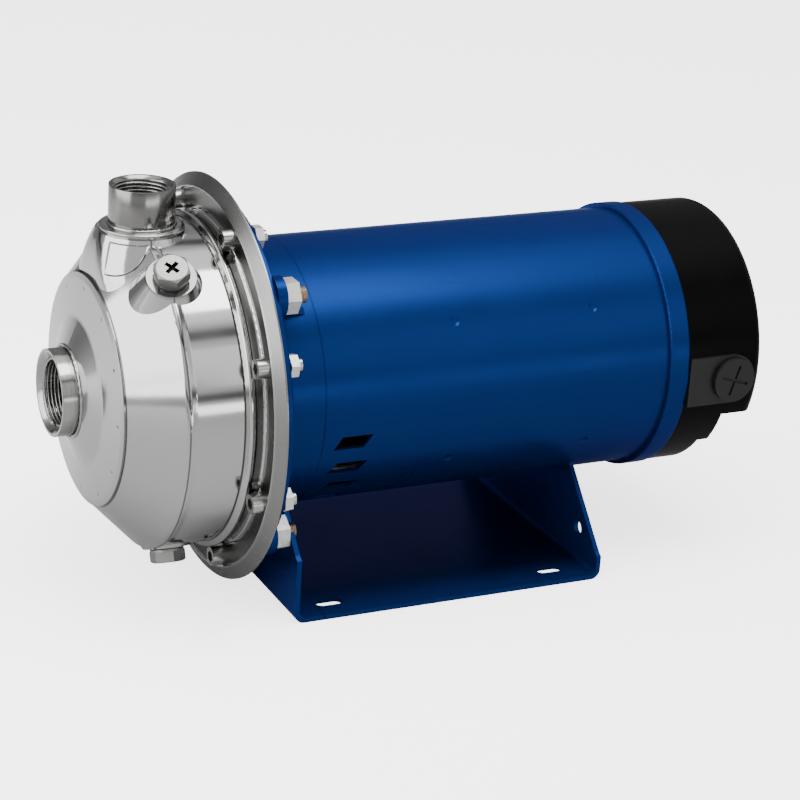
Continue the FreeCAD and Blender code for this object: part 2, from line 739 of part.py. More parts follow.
def make_suction_boss():
    """The threaded suction boss, through the front disc and welded to it."""
    body = piece("suction_boss")
    inside = S.nose_reach - S.wall - S.suction_stub
    turned(
        body,
        [
            (-S.suction_reach, S.suction_bore_r),
            (-inside, S.suction_bore_r),
            (-inside, S.suction_r),
            (-S.nose_reach, S.suction_r),
            (-S.nose_reach, S.suction_r + 1.5),
            (-S.nose_reach - 1.5, S.suction_r),
            (-S.suction_reach + 0.8, S.suction_r),
            (-S.suction_reach, S.suction_r - 0.8),
        ],
    )


def make_discharge():
    """The collar on the shoulder and the threaded boss that stands in it."""
    foot = S.collar_rise - S.collar_thick
    collar = piece("discharge_collar", along=-S.flange_ahead - S.outlet_reach)
    turned(
        collar,
        [
            (S.outlet_r, foot),
            (S.collar_r, foot),
            (S.collar_r, S.collar_rise - 1, 0.8),
            (S.collar_r - 2, S.collar_rise, 1.5),
            (S.outlet_r, S.collar_rise),
        ],
        axis="V_Axis",
    )
    boss = piece("discharge_boss", along=-S.flange_ahead - S.outlet_reach)
    throat = S.outlet_rise - S.outlet_thread
    turned(
        boss,
        [
            (S.outlet_throat_r, foot),
            (S.outlet_r, foot),
            (S.outlet_r, S.outlet_rise - 0.8),
            (S.outlet_r - 0.8, S.outlet_rise),
            (S.outlet_bore_r, S.outlet_rise),
            (S.outlet_bore_r, throat),
            (S.outlet_throat_r, throat),
        ],
        axis="V_Axis",
    )


def make_water_plug(name, rise, reach, tilt, lean):
    """A hexagon plug and its seal washer, on a pad of the casing."""
    seat = rise / cosine(lean)
    along = seat * sine(lean) - S.flange_ahead - reach
    washer = piece(name + "_seal", along=along, tilt=tilt, lean=lean)
    turned(
        washer,
        [
            (S.plug_bore_r, seat),
            (S.washer_r, seat),
            (S.washer_r, seat + S.washer_thick - 0.4),
            (S.washer_r - 0.4, seat + S.washer_thick),
            (S.plug_bore_r, seat + S.washer_thick),
        ],
        axis="V_Axis",
    )
    plug = piece(name, along=along, tilt=tilt, lean=lean)
    under = seat + S.washer_thick
    shank_r = S.plug_bore_r - S.plug_gap
    turned(
        plug,
        [
            (0, under - S.plug_shank),
            (shank_r - 1, under - S.plug_shank),
            (shank_r, under - S.plug_shank + 1),
            (shank_r, under),
            (S.plug_flats / 2 + 0.8, under),
            (S.plug_flats / 2 + 0.8, under + 1.4),
            (0, under + 1.4),
        ],
        axis="V_Axis",
    )
    drawing = draw(plug, "XY_Plane", under + 1)
    hexagon(drawing, 0, 0, S.plug_flats)
    raised(plug, drawing, S.plug_head)
    crown = under + 1 + S.plug_head
    turned(
        plug,
        [
            (S.plug_flats / 2 - 0.5, crown),
            (S.plug_flats, crown),
            (S.plug_flats, crown - S.plug_flats / 4),
        ],
        axis="V_Axis",
        cut=True,
    )
    if name == "fill_plug":
        for angle in (S.fill_cross_turn, S.fill_cross_turn + 90):
            drawing = draw(plug, "XY_Plane", crown)
            slot(drawing, 0, 0, S.fill_cross, S.fill_cross_width, angle)
            cut(plug, drawing, S.fill_cross_depth)


def make_casing_gasket():
    body = piece("casing_gasket")
    front = S.wall - S.face_reach
    turned(
        body,
        [
            (front, S.neck_r + 1),
            (front + S.gasket_thick, S.neck_r + 1),
            (front + S.gasket_thick, S.plate_r - 0.5),
            (front, S.plate_r - 0.5),
        ],
    )
    screw_holes(body)


def screw_holes(body):
    """The flange screw holes, right through a piece."""
    drawing = draw(body, "YZ_Plane")
    across, up = on_circle(S.screw_circle_r, HALF_TURN / S.screw_count)
    disc(drawing, across, up, S.screw_hole_r)
    ring_of(body, [cut(body, drawing)], S.screw_count)


def plate_front():
    return S.wall - S.face_reach + S.gasket_thick


def make_seal_housing():
    """The stainless back plate, with the cup that holds the seal seat."""
    body = piece("seal_housing")
    front = plate_front()
    back = front + S.plate_thick
    floor = back + S.cup_depth
    turned(
        body,
        [
            (front, S.plate_r),
            (front, S.cup_r - S.cup_wall),
            (floor - S.cup_wall, S.cup_r - S.cup_wall),
            (floor - S.cup_wall, S.seat_in_r),
            (floor, S.seat_in_r),
            (floor, S.cup_r, 2),
            (back, S.cup_r),
            (back, S.plate_r),
        ],
    )
    screw_holes(body)


def make_diffuser():
    """The guide bowl round the impeller, with its guide vanes and windows."""
    body = piece("diffuser")
    neck = S.eye_r + S.shroud + S.wear_gap + S.wear_thick
    front = -S.guide_reach
    turned(
        body,
        [
            (front, neck),
            (front, S.guide_r, 5),
            (plate_front(), S.guide_r),
            (plate_front(), S.guide_r - S.guide_wall),
            (front + S.guide_wall, S.guide_r - S.guide_wall, 3),
            (front + S.guide_wall, neck),
        ],
    )
    drawing = draw(body, "YZ_Plane", front + S.guide_wall - 0.5)
    vane_outline(drawing, S.guide_in_r, S.guide_out_r, S.guide_in_angle, S.guide_out_angle)
    vane = raised(body, drawing, S.guide_reach - S.guide_wall - S.hub_back)
    ring_of(body, [vane], S.guide_count)
    drawing = draw(body, "XZ_Plane")
    window = S.guide_reach - S.guide_wall - S.window_margin
    half = S.window_width / 2
    box_outline(drawing, -window, -S.hub_back + S.window_margin, -half, half)
    ring_of(body, [cut(body, drawing, S.guide_r + 5, reverse=True)], S.guide_count)


def vane_outline(drawing, inlet_r, outlet_r, inlet_angle, outlet_angle):
    """A vane bent along one arc, which meets both circles at the given angles."""
    swing = (outlet_r * outlet_r - inlet_r * inlet_r) / (
        (outlet_r * cosine(outlet_angle) - inlet_r * cosine(inlet_angle)) * 2
    )
    far = root(
        swing * swing + outlet_r * outlet_r - swing * outlet_r * cosine(outlet_angle) * 2
    )
    loop = []
    for radius, thickness in (
        (inlet_r, 0.5), (outlet_r, 0.5), (outlet_r, -0.5), (inlet_r, -0.5)
    ):
        lean = (radius * radius - far * far - swing * swing) / (far * swing * 2)
        reach = swing + S.vane_thick * thickness
        loop.append((far + reach * lean, reach * root(1 + -(lean * lean))))
    outline(
        drawing,
        loop,
        {0: (swing + S.vane_thick / 2, 1 if rises(loop) else -1),
         2: (swing - S.vane_thick / 2, -1 if rises(loop) else 1)},
    )


def rises(loop):
    """Whether a vane's outer arc runs anticlockwise."""
    return loop[1][0].number < loop[0][0].number


def make_wear_ring():
    body = piece("wear_ring")
    inner = S.eye_r + S.shroud + S.wear_gap
    outer = inner + S.wear_thick
    front = -S.guide_reach
    turned(
        body,
        [
            (front - 4, inner),
            (front + S.guide_wall, inner),
            (front + S.guide_wall, outer - 0.02),
            (front, outer - 0.02),
            (front, outer + 2),
            (front - 4, outer + 2),
        ],
    )


def make_impeller():
    """Two shrouds with curved vanes between them, a hub and the eye's neck."""
    body = piece("impeller")
    back = -S.impeller_back
    inside = back - S.shroud
    front = inside - S.impeller_width
    turned(
        body,
        [
            (-S.stub_reach, S.stub_r + S.fit_gap),
            (-S.stub_reach, S.hub_r - 2, 1.5),
            (inside, S.hub_r, 5),
            (inside, S.impeller_r),
            (back, S.impeller_r),
            (back, S.hub_r),
            (-S.hub_back, S.hub_r),
            (-S.hub_back, S.stub_r + S.fit_gap),
        ],
    )
    turned(
        body,
        [
            (front, S.impeller_r),
            (front, S.eye_r, 4),
            (-S.eye_reach, S.eye_r),
            (-S.eye_reach, S.eye_r + S.shroud),
            (front - S.shroud, S.eye_r + S.shroud, 2.5),
            (front - S.shroud, S.impeller_r),
        ],
    )
    drawing = draw(body, "YZ_Plane", front - S.shroud / 2)
    vane_outline(drawing, S.vane_in_r, S.vane_out_r, S.vane_angle_in, S.vane_angle_out)
    vane = raised(body, drawing, S.impeller_width + S.shroud)
    ring_of(body, [vane], S.vane_count)
    keyway(body, S.stub_r + S.key_side / 2 + 0.05)


def keyway(body, top):
    """The upper half of the impeller key's slot, or the lower one in the shaft."""
    drawing = draw(body, "XZ_Plane")
    low, high = -S.stub_reach + 1.5, -S.stub_reach + 1.5 + S.key_length
    if top is None:
        box_outline(drawing, low, high, S.stub_r - S.key_side / 2, S.stub_r + 1)
    else:
        box_outline(drawing, -S.stub_reach - 1, high, 0, top)
    made = cut(body, drawing, S.key_side)
    made.SideType = "Symmetric"


def make_impeller_fixings():
    """Key, washer and domed nut that hold the impeller on the shaft."""
    key = piece("impeller_key")
    drawing = draw(key, "XZ_Plane")
    low = -S.stub_reach + 1.5
    base = S.stub_r - S.key_side / 2
    box_outline(drawing, low, low + S.key_length, base, base + S.key_side)
    raised(key, drawing, S.key_side - 0.04, both_ways=True)
    washer = piece("impeller_washer")
    front = -S.stub_reach - S.nut_washer
    turned(
        washer,
        [
            (front, S.thread_r + 0.1),
            (-S.stub_reach, S.thread_r + 0.1),
            (-S.stub_reach, S.nut_flats / 2 + 2),
            (front, S.nut_flats / 2 + 2),
        ],
    )
    nut = piece("impeller_nut")
    drawing = draw(nut, "YZ_Plane", front)
    hexagon(drawing, 0, 0, S.nut_flats)
    raised(nut, drawing, S.nut_height, reverse=True)
    turned(
        nut,
        [
            (front - S.nut_height, 0),
            (front, 0),
            (front, S.thread_r + S.fit_gap),
            (front - S.nut_height, S.thread_r + S.fit_gap),
        ],
        cut=True,
    )
    turned(
        nut,
        [
            (front - S.nut_height, S.nut_flats / 2 - 0.4),
            (front - S.nut_height + S.nut_flats / 4, S.nut_flats),
            (front - S.nut_height, S.nut_flats),
        ],
        cut=True,
    )


def seat_back():
    return plate_front() + S.plate_thick + S.cup_depth - S.cup_wall


def make_seal():
    """The mechanical seal: fixed seat, turning head, its spring and holder."""
    seat = piece("seal_seat")
    back = seat_back()
    front = back - S.seat_thick
    turned(
        seat,
        [
            (front, S.seat_in_r),
            (front, S.seal_head_r - 1),
            (front + 2, S.cup_r - S.cup_wall - 0.02),
            (back, S.cup_r - S.cup_wall - 0.02),
            (back, S.seat_in_r),
        ],
    )
    head = piece("seal_head")
    turned(
        head,
        [
            (front - 0.05, S.shaft_r + 1),
            (front - 0.05, S.seal_head_r - 3.5),
            (front - 2, S.seal_head_r - 3.5),
            (front - 2, S.seal_head_r),
            (front - S.seal_head, S.seal_head_r),
            (front - S.seal_head, S.shaft_r + S.fit_gap),
            (front - 4, S.shaft_r + S.fit_gap),
        ],
    )
    holder_back = -S.hub_back + S.holder_thick
    holder = piece("seal_spring_holder")
    turned(
        holder,
        [
            (-S.hub_back, S.shaft_r + S.fit_gap),
            (-S.hub_back, S.coil_r + 2),
            (holder_back, S.coil_r + 2),
            (holder_back, S.shaft_r + S.fit_gap),
        ],
    )
    coil = doc.addObject("Part::Feature", "seal_spring")
    coil.Label = "seal_spring"
    length = (front - S.seal_head - holder_back).number - 2 * S.coil_wire_r.number
    pitch = length / S.coil_turns.number
    helix = Part.makeHelix(pitch, length, S.coil_r.number)
    wire = Part.Circle(
        FreeCAD.Vector(S.coil_r.number, 0, 0), FreeCAD.Vector(0, 1, 0), S.coil_wire_r.number
    )
    coil.Shape = Part.Wire(helix.Edges).makePipeShell([Part.Wire([wire.toShape()])], True, True)
    start = holder_back.number + S.coil_wire_r.number - S.flange_ahead.number
    coil.Placement = FreeCAD.Placement(
        FreeCAD.Vector(start, 0, S.shaft_height.number),
        FreeCAD.Rotation(FreeCAD.Vector(0, 1, 0), 90),
    )


def ring_piece(name, low, high, inner, outer, chamfer=0.0):
    """A plain turned ring."""
    body = piece(name)
    corners = [(low, inner), (high, inner), (high, outer), (low, outer)]
    if chamfer:
        corners[2:] = [
            (high, outer - chamfer), (high - chamfer, outer),
            (low + chamfer, outer), (low, outer - chamfer),
        ]
    turned(body, corners)
    return body


def adapter_back():
    return plate_front() + S.plate_thick + S.adapter_thick


def make_flange_fastenings():
    """Socket-head cap screws through the flange, and their nuts behind it."""
    screws = piece("flange_screws")
    across, up = on_circle(S.screw_circle_r, HALF_TURN / S.screw_count)
    nut_back = adapter_back() + S.screw_nut
    head = draw(screws, "YZ_Plane", -S.face_reach)
    disc(head, across, up, S.screw_head_r)
    top = raised(screws, head, S.screw_head, reverse=True)
    shank = draw(screws, "YZ_Plane", -S.face_reach - 1)
    disc(shank, across, up, S.screw_r)
    stem = raised(screws, shank, nut_back + S.screw_tail + S.face_reach + 1)
    socket = draw(screws, "YZ_Plane", -S.face_reach - S.screw_head)
    hexagon(socket, across, up, S.screw_socket)
    hollow = cut(screws, socket, S.screw_head / 2, reverse=True)
    ring_of(screws, [top, stem, hollow], S.screw_count)
    nuts = piece("flange_nuts")
    flat = draw(nuts, "YZ_Plane", adapter_back())
    hexagon(flat, across, up, S.screw_nut_flats)
    block = raised(nuts, flat, S.screw_nut)
    hole = draw(nuts, "YZ_Plane", adapter_back() - 1)
    disc(hole, across, up, S.screw_r + S.fit_gap)
    bore = cut(nuts, hole, S.screw_nut + 3, reverse=True)
    ring_of(nuts, [block, bore], S.screw_count)


def make_adapter():
    """The cast bracket between pump and motor, with lugs, gussets and bearing hub."""
    body = piece("motor_adapter")
    front = plate_front() + S.plate_thick
    back = adapter_back()
    hub_front = S.front_bearing - 5
    hub_back = S.front_bearing + S.bearing_width
    seat_r = S.bearing_r + S.fit_gap
    end = S.shell_front
    inner_r = S.barrel_r - S.adapter_wall
    spigot_r = S.barrel_r - S.shell_wall - S.spigot_gap
    turned(
        body,
        [
            (front, S.adapter_bore_r),
            (front, S.adapter_r, 1),
            (back, S.adapter_r, 1),
            (back, S.barrel_r, 3),
            (end, S.barrel_r),
            (end, spigot_r),
            (end + S.spigot, spigot_r),
            (end + S.spigot, spigot_r - S.spigot_wall),
            (hub_back - 3, spigot_r - S.spigot_wall),
            (hub_back - 3, S.bearing_r + S.hub_wall),
            (hub_back, S.bearing_r + S.hub_wall),
            (hub_back, seat_r),
            (S.front_bearing, seat_r),
            (S.front_bearing, S.bearing_r - S.ring_depth),
            (hub_front, S.bearing_r - S.ring_depth),
            (hub_front, S.bearing_r + S.hub_wall),
            (hub_back - 3 - S.web_thick, S.bearing_r + S.hub_wall),
            (hub_back - 3 - S.web_thick, inner_r, 3),
            (back, inner_r),
            (back, S.adapter_bore_r),
        ],
    )
    across, up = on_circle(S.lug_circle_r, HALF_TURN / S.lug_count)
    lug = draw(body, "YZ_Plane", back - 1)
    disc(lug, across, up, S.lug_r)
    boss = raised(body, lug, S.lug_back - back + 1)
    rib_plane = draw(body, "XZ_Plane", 0, spin=HALF_TURN / S.lug_count)
    outline(
        rib_plane,
        [
            (back - 1, S.barrel_r - 2),
            (S.rib_back, S.barrel_r - 2),
            (S.rib_back, S.barrel_r),
            (back - 1, S.barrel_r + S.rib_height),
        ],
    )
    rib = raised(body, rib_plane, S.rib_thick, both_ways=True)
    ring_of(body, [boss, rib], S.lug_count)
    hole = draw(body, "YZ_Plane")
    disc(hole, across, up, S.stud_r + 0.3)
    ring_of(body, [cut(body, hole)], S.lug_count)
    screw_holes(body)
    tie_holes(body)


def tie_holes(body):
    """The through bolts' holes."""
    drawing = draw(body, "YZ_Plane")
    across, up = on_circle(S.tie_circle_r, HALF_TURN / S.lug_count)
    disc(drawing, across, up, S.tie_r + S.tie_gap)
    ring_of(body, [cut(body, drawing)], 4)


def make_adapter_fastenings():
    """Four studs through the lugs with large hexagon nuts."""
    across, up = on_circle(S.lug_circle_r, HALF_TURN / S.lug_count)
    front = plate_front() + S.plate_thick
    studs = piece("adapter_studs")
    drawing = draw(studs, "YZ_Plane", front)
    disc(drawing, across, up, S.stud_r)
    stem = raised(studs, drawing, S.lug_back + S.lug_nut + S.stud_tail - front)
    ring_of(studs, [stem], S.lug_count)
    nuts = piece("adapter_nuts")
    drawing = draw(nuts, "YZ_Plane", S.lug_back)
    hexagon(drawing, across, up, S.lug_nut_flats)
    block = raised(nuts, drawing, S.lug_nut)
    hole = draw(nuts, "YZ_Plane", S.lug_back - 1)
    disc(hole, across, up, S.stud_r + S.fit_gap)
    bore = cut(nuts, hole, S.lug_nut + 3, reverse=True)
    ring_of(nuts, [block, bore], S.lug_count)


def make_shaft():
    """The stepped shaft, from the impeller's thread to the tail."""
    body = piece("motor_shaft")
    rear = S.rear_bearing + S.bearing_width
    turned(
        body,
        [
            (-S.thread_reach, 0),
            (-S.thread_reach, S.thread_r - 0.8),
            (-S.thread_reach + 0.8, S.thread_r),
            (-S.stub_reach, S.thread_r),
            (-S.stub_reach, S.stub_r),
            (-S.hub_back, S.stub_r),
            (-S.hub_back, S.shaft_r),
            (S.front_bearing - 1, S.shaft_r),
            (S.front_bearing - 1, S.journal_r),
            (S.front_bearing + S.bearing_width, S.journal_r),
            (S.front_bearing + S.bearing_width, S.shaft_body_r),
            (S.core_front, S.shaft_body_r),
            (S.core_front, S.core_bore_r),
            (S.core_front + S.core_length, S.core_bore_r),
            (S.core_front + S.core_length, S.shaft_body_r),
            (S.rear_bearing, S.shaft_body_r),
            (S.rear_bearing, S.journal_r),
            (rear, S.journal_r),
            (rear, S.tail_r),
            (S.tail_back - 1, S.tail_r),
            (S.tail_back, S.tail_r - 1),
            (S.tail_back, 0),
        ],
    )
    keyway(body, None)


def make_bearing(name, front):
    """A deep-groove ball bearing: two grooved rings and the balls."""
    race = S.ball_r + S.race_gap
    middle = front + S.bearing_width / 2
    for part, edge_r, seat_r, inwards in (
        ("inner_ring", S.journal_r + S.ring_depth, S.journal_r + S.fit_gap, 1),
        ("outer_ring", S.bearing_r - S.ring_depth, S.bearing_r, -1),
    ):
        depth = (S.ball_circle_r - edge_r) * inwards
        half = root(race * race - depth * depth)
        body = piece(name + "_" + part)
        corners = [
            (front, seat_r),
            (front + S.bearing_width, seat_r),
            (front + S.bearing_width, edge_r),
            (middle + half, edge_r),
            (middle - half, edge_r),
            (front, edge_r),
        ]
        turned(body, corners, {3: (race, -inwards)})
    balls = piece(name + "_balls")
    drawing = draw(balls, "XZ_Plane")
    outline(
        drawing,
        [(middle - S.ball_r, S.ball_circle_r), (middle + S.ball_r, S.ball_circle_r)],
        {1: (HALF, 1)},
    )
    made = feature(balls, "Revolution", drawing)
    made.ReferenceAxis = (drawing, ["Edge1"])
    made.Angle = 360
    balls.Tip = made
    ring_of(balls, [made], S.ball_count)


def make_rotor():
    """The rotor's stack of sheets, and its cast end rings with fan blades."""
    front = S.core_front
    back = front + S.core_length
    outer = S.stator_bore_r - S.air_gap
    ring_piece("rotor_core", front, back, S.core_bore_r + S.fit_gap, outer)
    rings = piece("rotor_end_rings")
    inner = S.core_bore_r + 9
    turned(
        rings,
        [(front - S.end_ring, inner), (front, inner), (front, outer - 1),
         (front - S.end_ring, outer - 4)],
    )
    turned(
        rings,
        [(back, inner), (back + S.end_ring, inner), (back + S.end_ring, outer - 4),
         (back, outer - 1)],
    )
    drawing = draw(rings, "XZ_Plane")
    tip = front - S.end_ring - S.blade_height
    outline(
        drawing,
        [(tip, inner + 4), (front - 1, inner + 1), (front - 1, outer - 4), (tip, outer - 8)],
    )
    blade = raised(rings, drawing, 2, both_ways=True)
    ring_of(rings, [blade], S.blade_count)


def make_stator():
    """The stator's stack of sheets and the end turns of its winding."""
    front = S.core_front
    back = front + S.core_length
    outer = S.barrel_r - S.shell_wall - S.spigot_gap
    core = ring_piece("stator_core", front, back, S.stator_bore_r, outer)
    tie_holes(core)
    winding = piece("stator_windings")
    for start, side in ((front, -1), (back, 1)):
        end = start + S.winding_length * side
        turned(
            winding,
            [
                (start, S.winding_in_r),
                (start, S.winding_out_r),
                (end, S.winding_out_r, 8),
                (end, S.winding_in_r, 7),
            ][::side],
        )


def make_shell():
    """The rolled motor shell with vent windows low on both sides."""
    body = piece("motor_shell")
    turned(
        body,
        [
            (S.shell_front, S.barrel_r - S.shell_wall),
            (S.shell_rear, S.barrel_r - S.shell_wall),
            (S.shell_rear, S.barrel_r),
            (S.shell_front, S.barrel_r),
        ],
    )
    low, high = -S.vent_width / 2, S.vent_width / 2
    for first, sweep in ((-S.vent_first, -1), (S.vent_first + 180, 1)):
        drawing = draw(body, "XZ_Plane", 0, spin=-first if sweep < 0 else first)
        front, rear = S.vent_front, S.vent_front + S.vent_length
        outline(
            drawing,
            [(front, low), (rear - S.vent_slant, low), (rear, high), (front + S.vent_slant, high)],
        )
        window = cut(body, drawing, S.barrel_r + 2, reverse=True)
        around = ring_of(body, [window], S.vent_count, S.vent_sweep)
        around.Reversed = sweep > 0


def make_end_bell():
    """The rear end bell: band, web and bearing hub."""
    body = piece("rear_end_bell")
    seat_r = S.bearing_r + S.fit_gap
    front = S.shell_rear
    web = front + S.web_thick
    spigot_r = S.barrel_r - S.shell_wall - S.spigot_gap
    pocket = S.rear_bearing + S.bearing_width + S.spring_washer
    turned(
        body,
        [
            (front - S.spigot, spigot_r),
            (front, spigot_r),
            (front, S.band_r, 1),
            (S.band_rear, S.band_r, 1.5),
            (S.band_rear, S.cover_r - 6),
            (web, S.cover_r - 6),
            (web, S.bearing_r + 4),
            (pocket + 3, S.bearing_r + 4),
            (pocket + 3, S.tail_r + 2),
            (pocket, S.tail_r + 2),
            (pocket, seat_r),
            (S.rear_bearing, seat_r),
            (S.rear_bearing, S.bearing_r + S.hub_wall),
            (front, S.bearing_r + S.hub_wall),
            (front, spigot_r - S.spigot_wall),
            (front - S.spigot, spigot_r - S.spigot_wall),
        ],
    )
    tie_holes(body)


def make_through_bolts():
    """Four long bolts that clamp adapter, core and end bell together."""
    body = piece("through_bolts")
    across, up = on_circle(S.tie_circle_r, HALF_TURN / S.lug_count)
    web = S.front_bearing + S.bearing_width - 3 - S.web_thick
    rear = S.shell_rear + S.web_thick
    stem_plane = draw(body, "YZ_Plane", web - 5)
    disc(stem_plane, across, up, S.tie_r)
    stem = raised(body, stem_plane, rear - web + 6)
    head_plane = draw(body, "YZ_Plane", rear)
    hexagon(head_plane, across, up, S.tie_r * 3)
    head = raised(body, head_plane, S.tie_r * 1.7)
    nut_plane = draw(body, "YZ_Plane", web)
    hexagon(nut_plane, across, up, S.tie_r * 3)
    nut = raised(body, nut_plane, S.tie_r * 1.7, reverse=True)
    ring_of(body, [stem, head, nut], 4)


def make_governor():
    """The centrifugal governor on the shaft, its collar, and the start switch."""
    back = S.governor_back
    ring_piece(
        "governor", back, back + S.governor_length, S.shaft_body_r + S.fit_gap, S.governor_r, 3
    )
    body = piece("governor_collar")
    front = back + S.governor_length + S.collar_travel
    turned(
        body,
        [
            (front, S.shaft_body_r + S.slide_gap),
            (front + S.slide_length, S.shaft_body_r + S.slide_gap),
            (front + S.slide_length, S.slide_r),
            (front + S.slide_length - 2, S.slide_r),
            (front + S.slide_length - 2, S.slide_r - 3),
            (front, S.slide_r - 3),
        ],
    )
    switch = piece("start_switch")
    low = S.bearing_r + S.hub_wall + 4
    drawing = draw(switch, "YZ_Plane", S.shell_rear - S.switch_thick)
    box_outline(
        drawing, -S.switch_width / 2, S.switch_width / 2, low, low + S.switch_height
    )
    raised(switch, drawing, S.switch_thick)


def make_cover():
    """The moulded rear cover, stepped low down, with its conduit opening."""
    body = piece("rear_cover")
    front = S.band_rear
    turned(
        body,
        [
            (front, 0),
            (S.cover_rear, 0),
            (S.cover_rear, S.cover_r, S.cover_round),
            (front, S.cover_r),
        ],
    )
    notches = (
        (S.notch_one_rear, S.notch_one_drop), (S.notch_two_rear, S.notch_two_drop)
    )
    for rear, drop in notches:
        drawing = draw(body, "XZ_Plane")
        box_outline(drawing, rear, S.cover_rear + 5, -S.cover_r - 5, -drop)
        cut(body, drawing)
    hollow_r = S.cover_r - S.cover_wall
    turned(
        body,
        [
            (front, 0),
            (S.notch_two_rear - S.cover_wall, 0),
            (S.notch_two_rear - S.cover_wall, hollow_r, 3),
            (front, hollow_r),
        ],
        cut=True,
    )
    deep = draw(body, "YZ_Plane", S.cover_rear - S.cover_wall)
    half = hollow_r - S.cover_round / 2
    low = -S.notch_one_drop + S.cover_wall
    sag = root(half * half - low * low)
    outline(
        deep,
        [(-sag, low), (sag, low), (half, 0), (0, half), (-half, 0)],
        {1: (half, 1), 2: (half, 1), 3: (half, 1), 4: (half, 1)},
    )
    cut(body, deep, S.cover_rear - S.cover_wall - S.notch_two_rear + 4)
    entry = draw(body, "XZ_Plane", S.entry_face + S.entry_ring)
    entry_outline(entry, S.entry_gap)
    cut(body, entry, S.entry_deep)
    drawing = draw(body, "YZ_Plane")
    across, up = on_circle(S.cover_screw_circle_r, S.cover_screw_lift)
    disc(drawing, across, up, S.cover_screw_r + 0.2)
    disc(drawing, -across, up, S.cover_screw_r + 0.2)
    cut(body, drawing)


def entry_outline(drawing, gap):
    """The conduit plate's outline: square at the band, round at the rear."""
    low, high = -S.entry_drop - S.entry_r - gap, -S.entry_drop + S.entry_r + gap
    outline(
        drawing,
        [(S.band_rear - 1, low), (S.entry_back, low), (S.entry_back, high),
         (S.band_rear - 1, high)],
        {1: (HALF, 1)},
    )


def make_conduit():
    """The conduit plate in the cover's side, its gasket and its slotted plug."""
    plate = piece("conduit_plate")
    drawing = draw(plate, "XZ_Plane", S.entry_face)
    low, high = -S.entry_drop - S.entry_r, -S.entry_drop + S.entry_r
    outline(
        drawing,
        [(S.band_rear + 0.1, low), (S.entry_back, low), (S.entry_back, high),
         (S.band_rear + 0.1, high)],
        {1: (HALF, 1)},
    )
    raised(plate, drawing, S.entry_depth, reverse=True)
    drawing = draw(plate, "XZ_Plane", S.entry_face)
    disc(drawing, S.entry_back, -S.entry_drop, S.entry_bore_r)
    cut(plate, drawing, S.entry_depth + 5)
    gasket = piece("conduit_gasket")
    drawing = draw(gasket, "XZ_Plane", S.entry_face)
    disc(drawing, S.entry_back, -S.entry_drop, S.entry_cap_r - 1)
    disc(drawing, S.entry_back, -S.entry_drop, S.entry_bore_r)
    raised(gasket, drawing, S.entry_ring)
    plug = piece("conduit_plug")
    under = S.entry_face + S.entry_ring
    drawing = draw(plug, "XZ_Plane", under)
    disc(drawing, S.entry_back, -S.entry_drop, S.entry_cap_r)
    raised(plug, drawing, S.entry_cap)
    drawing = draw(plug, "XZ_Plane", under)
    disc(drawing, S.entry_back, -S.entry_drop, S.entry_bore_r - S.plug_gap)
    raised(plug, drawing, S.entry_shank, reverse=True)
    for angle in (S.cross_turn, S.cross_turn + 90):
        drawing = draw(plug, "XZ_Plane", under + S.entry_cap)
        slot(drawing, S.entry_back, -S.entry_drop, S.cross_length, S.cross_width, angle)
        cut(plug, drawing, S.cross_depth)


def make_electrics():
    """Start capacitor, its clip and the terminal board, under the rear cover."""
    can = piece("start_capacitor")
    drawing = draw(can, "XZ_Plane", -S.can_length / 2)
    disc(drawing, S.can_back, S.can_rise, S.can_r)
    raised(can, drawing, S.can_length)
    clip = piece("capacitor_clip")
    drawing = draw(clip, "XZ_Plane")
    disc(drawing, S.can_back, S.can_rise, S.can_r + S.strap)
    raised(clip, drawing, S.strap_width, both_ways=True)
    drawing = draw(clip, "XZ_Plane")
    web = S.shell_rear + S.web_thick
    box_outline(
        drawing, web, S.can_back - S.can_r + 2, S.can_rise - S.can_r / 2, S.can_rise + S.can_r / 2
    )
    raised(clip, drawing, S.strap_width, both_ways=True)
    drawing = draw(clip, "XZ_Plane")
    disc(drawing, S.can_back, S.can_rise, S.can_r)
    cut(clip, drawing)
    board = piece("terminal_board")
    drawing = draw(board, "YZ_Plane", web)
    box_outline(
        drawing, -S.board_width - S.board_aside, -S.board_aside,
        -S.board_height / 2, S.board_height / 2,
    )
    raised(board, drawing, S.board_thick)
    screws = piece("cover_screws")
    across, up = on_circle(S.cover_screw_circle_r, S.cover_screw_lift)
    for side in (across, -across):
        drawing = draw(screws, "YZ_Plane", S.cover_rear)
        disc(drawing, side, up, S.cover_screw_head_r)
        raised(screws, drawing, 2.4)
        drawing = draw(screws, "YZ_Plane", web)
        disc(drawing, side, up, S.cover_screw_r)
        raised(screws, drawing, S.cover_rear - web + 1)


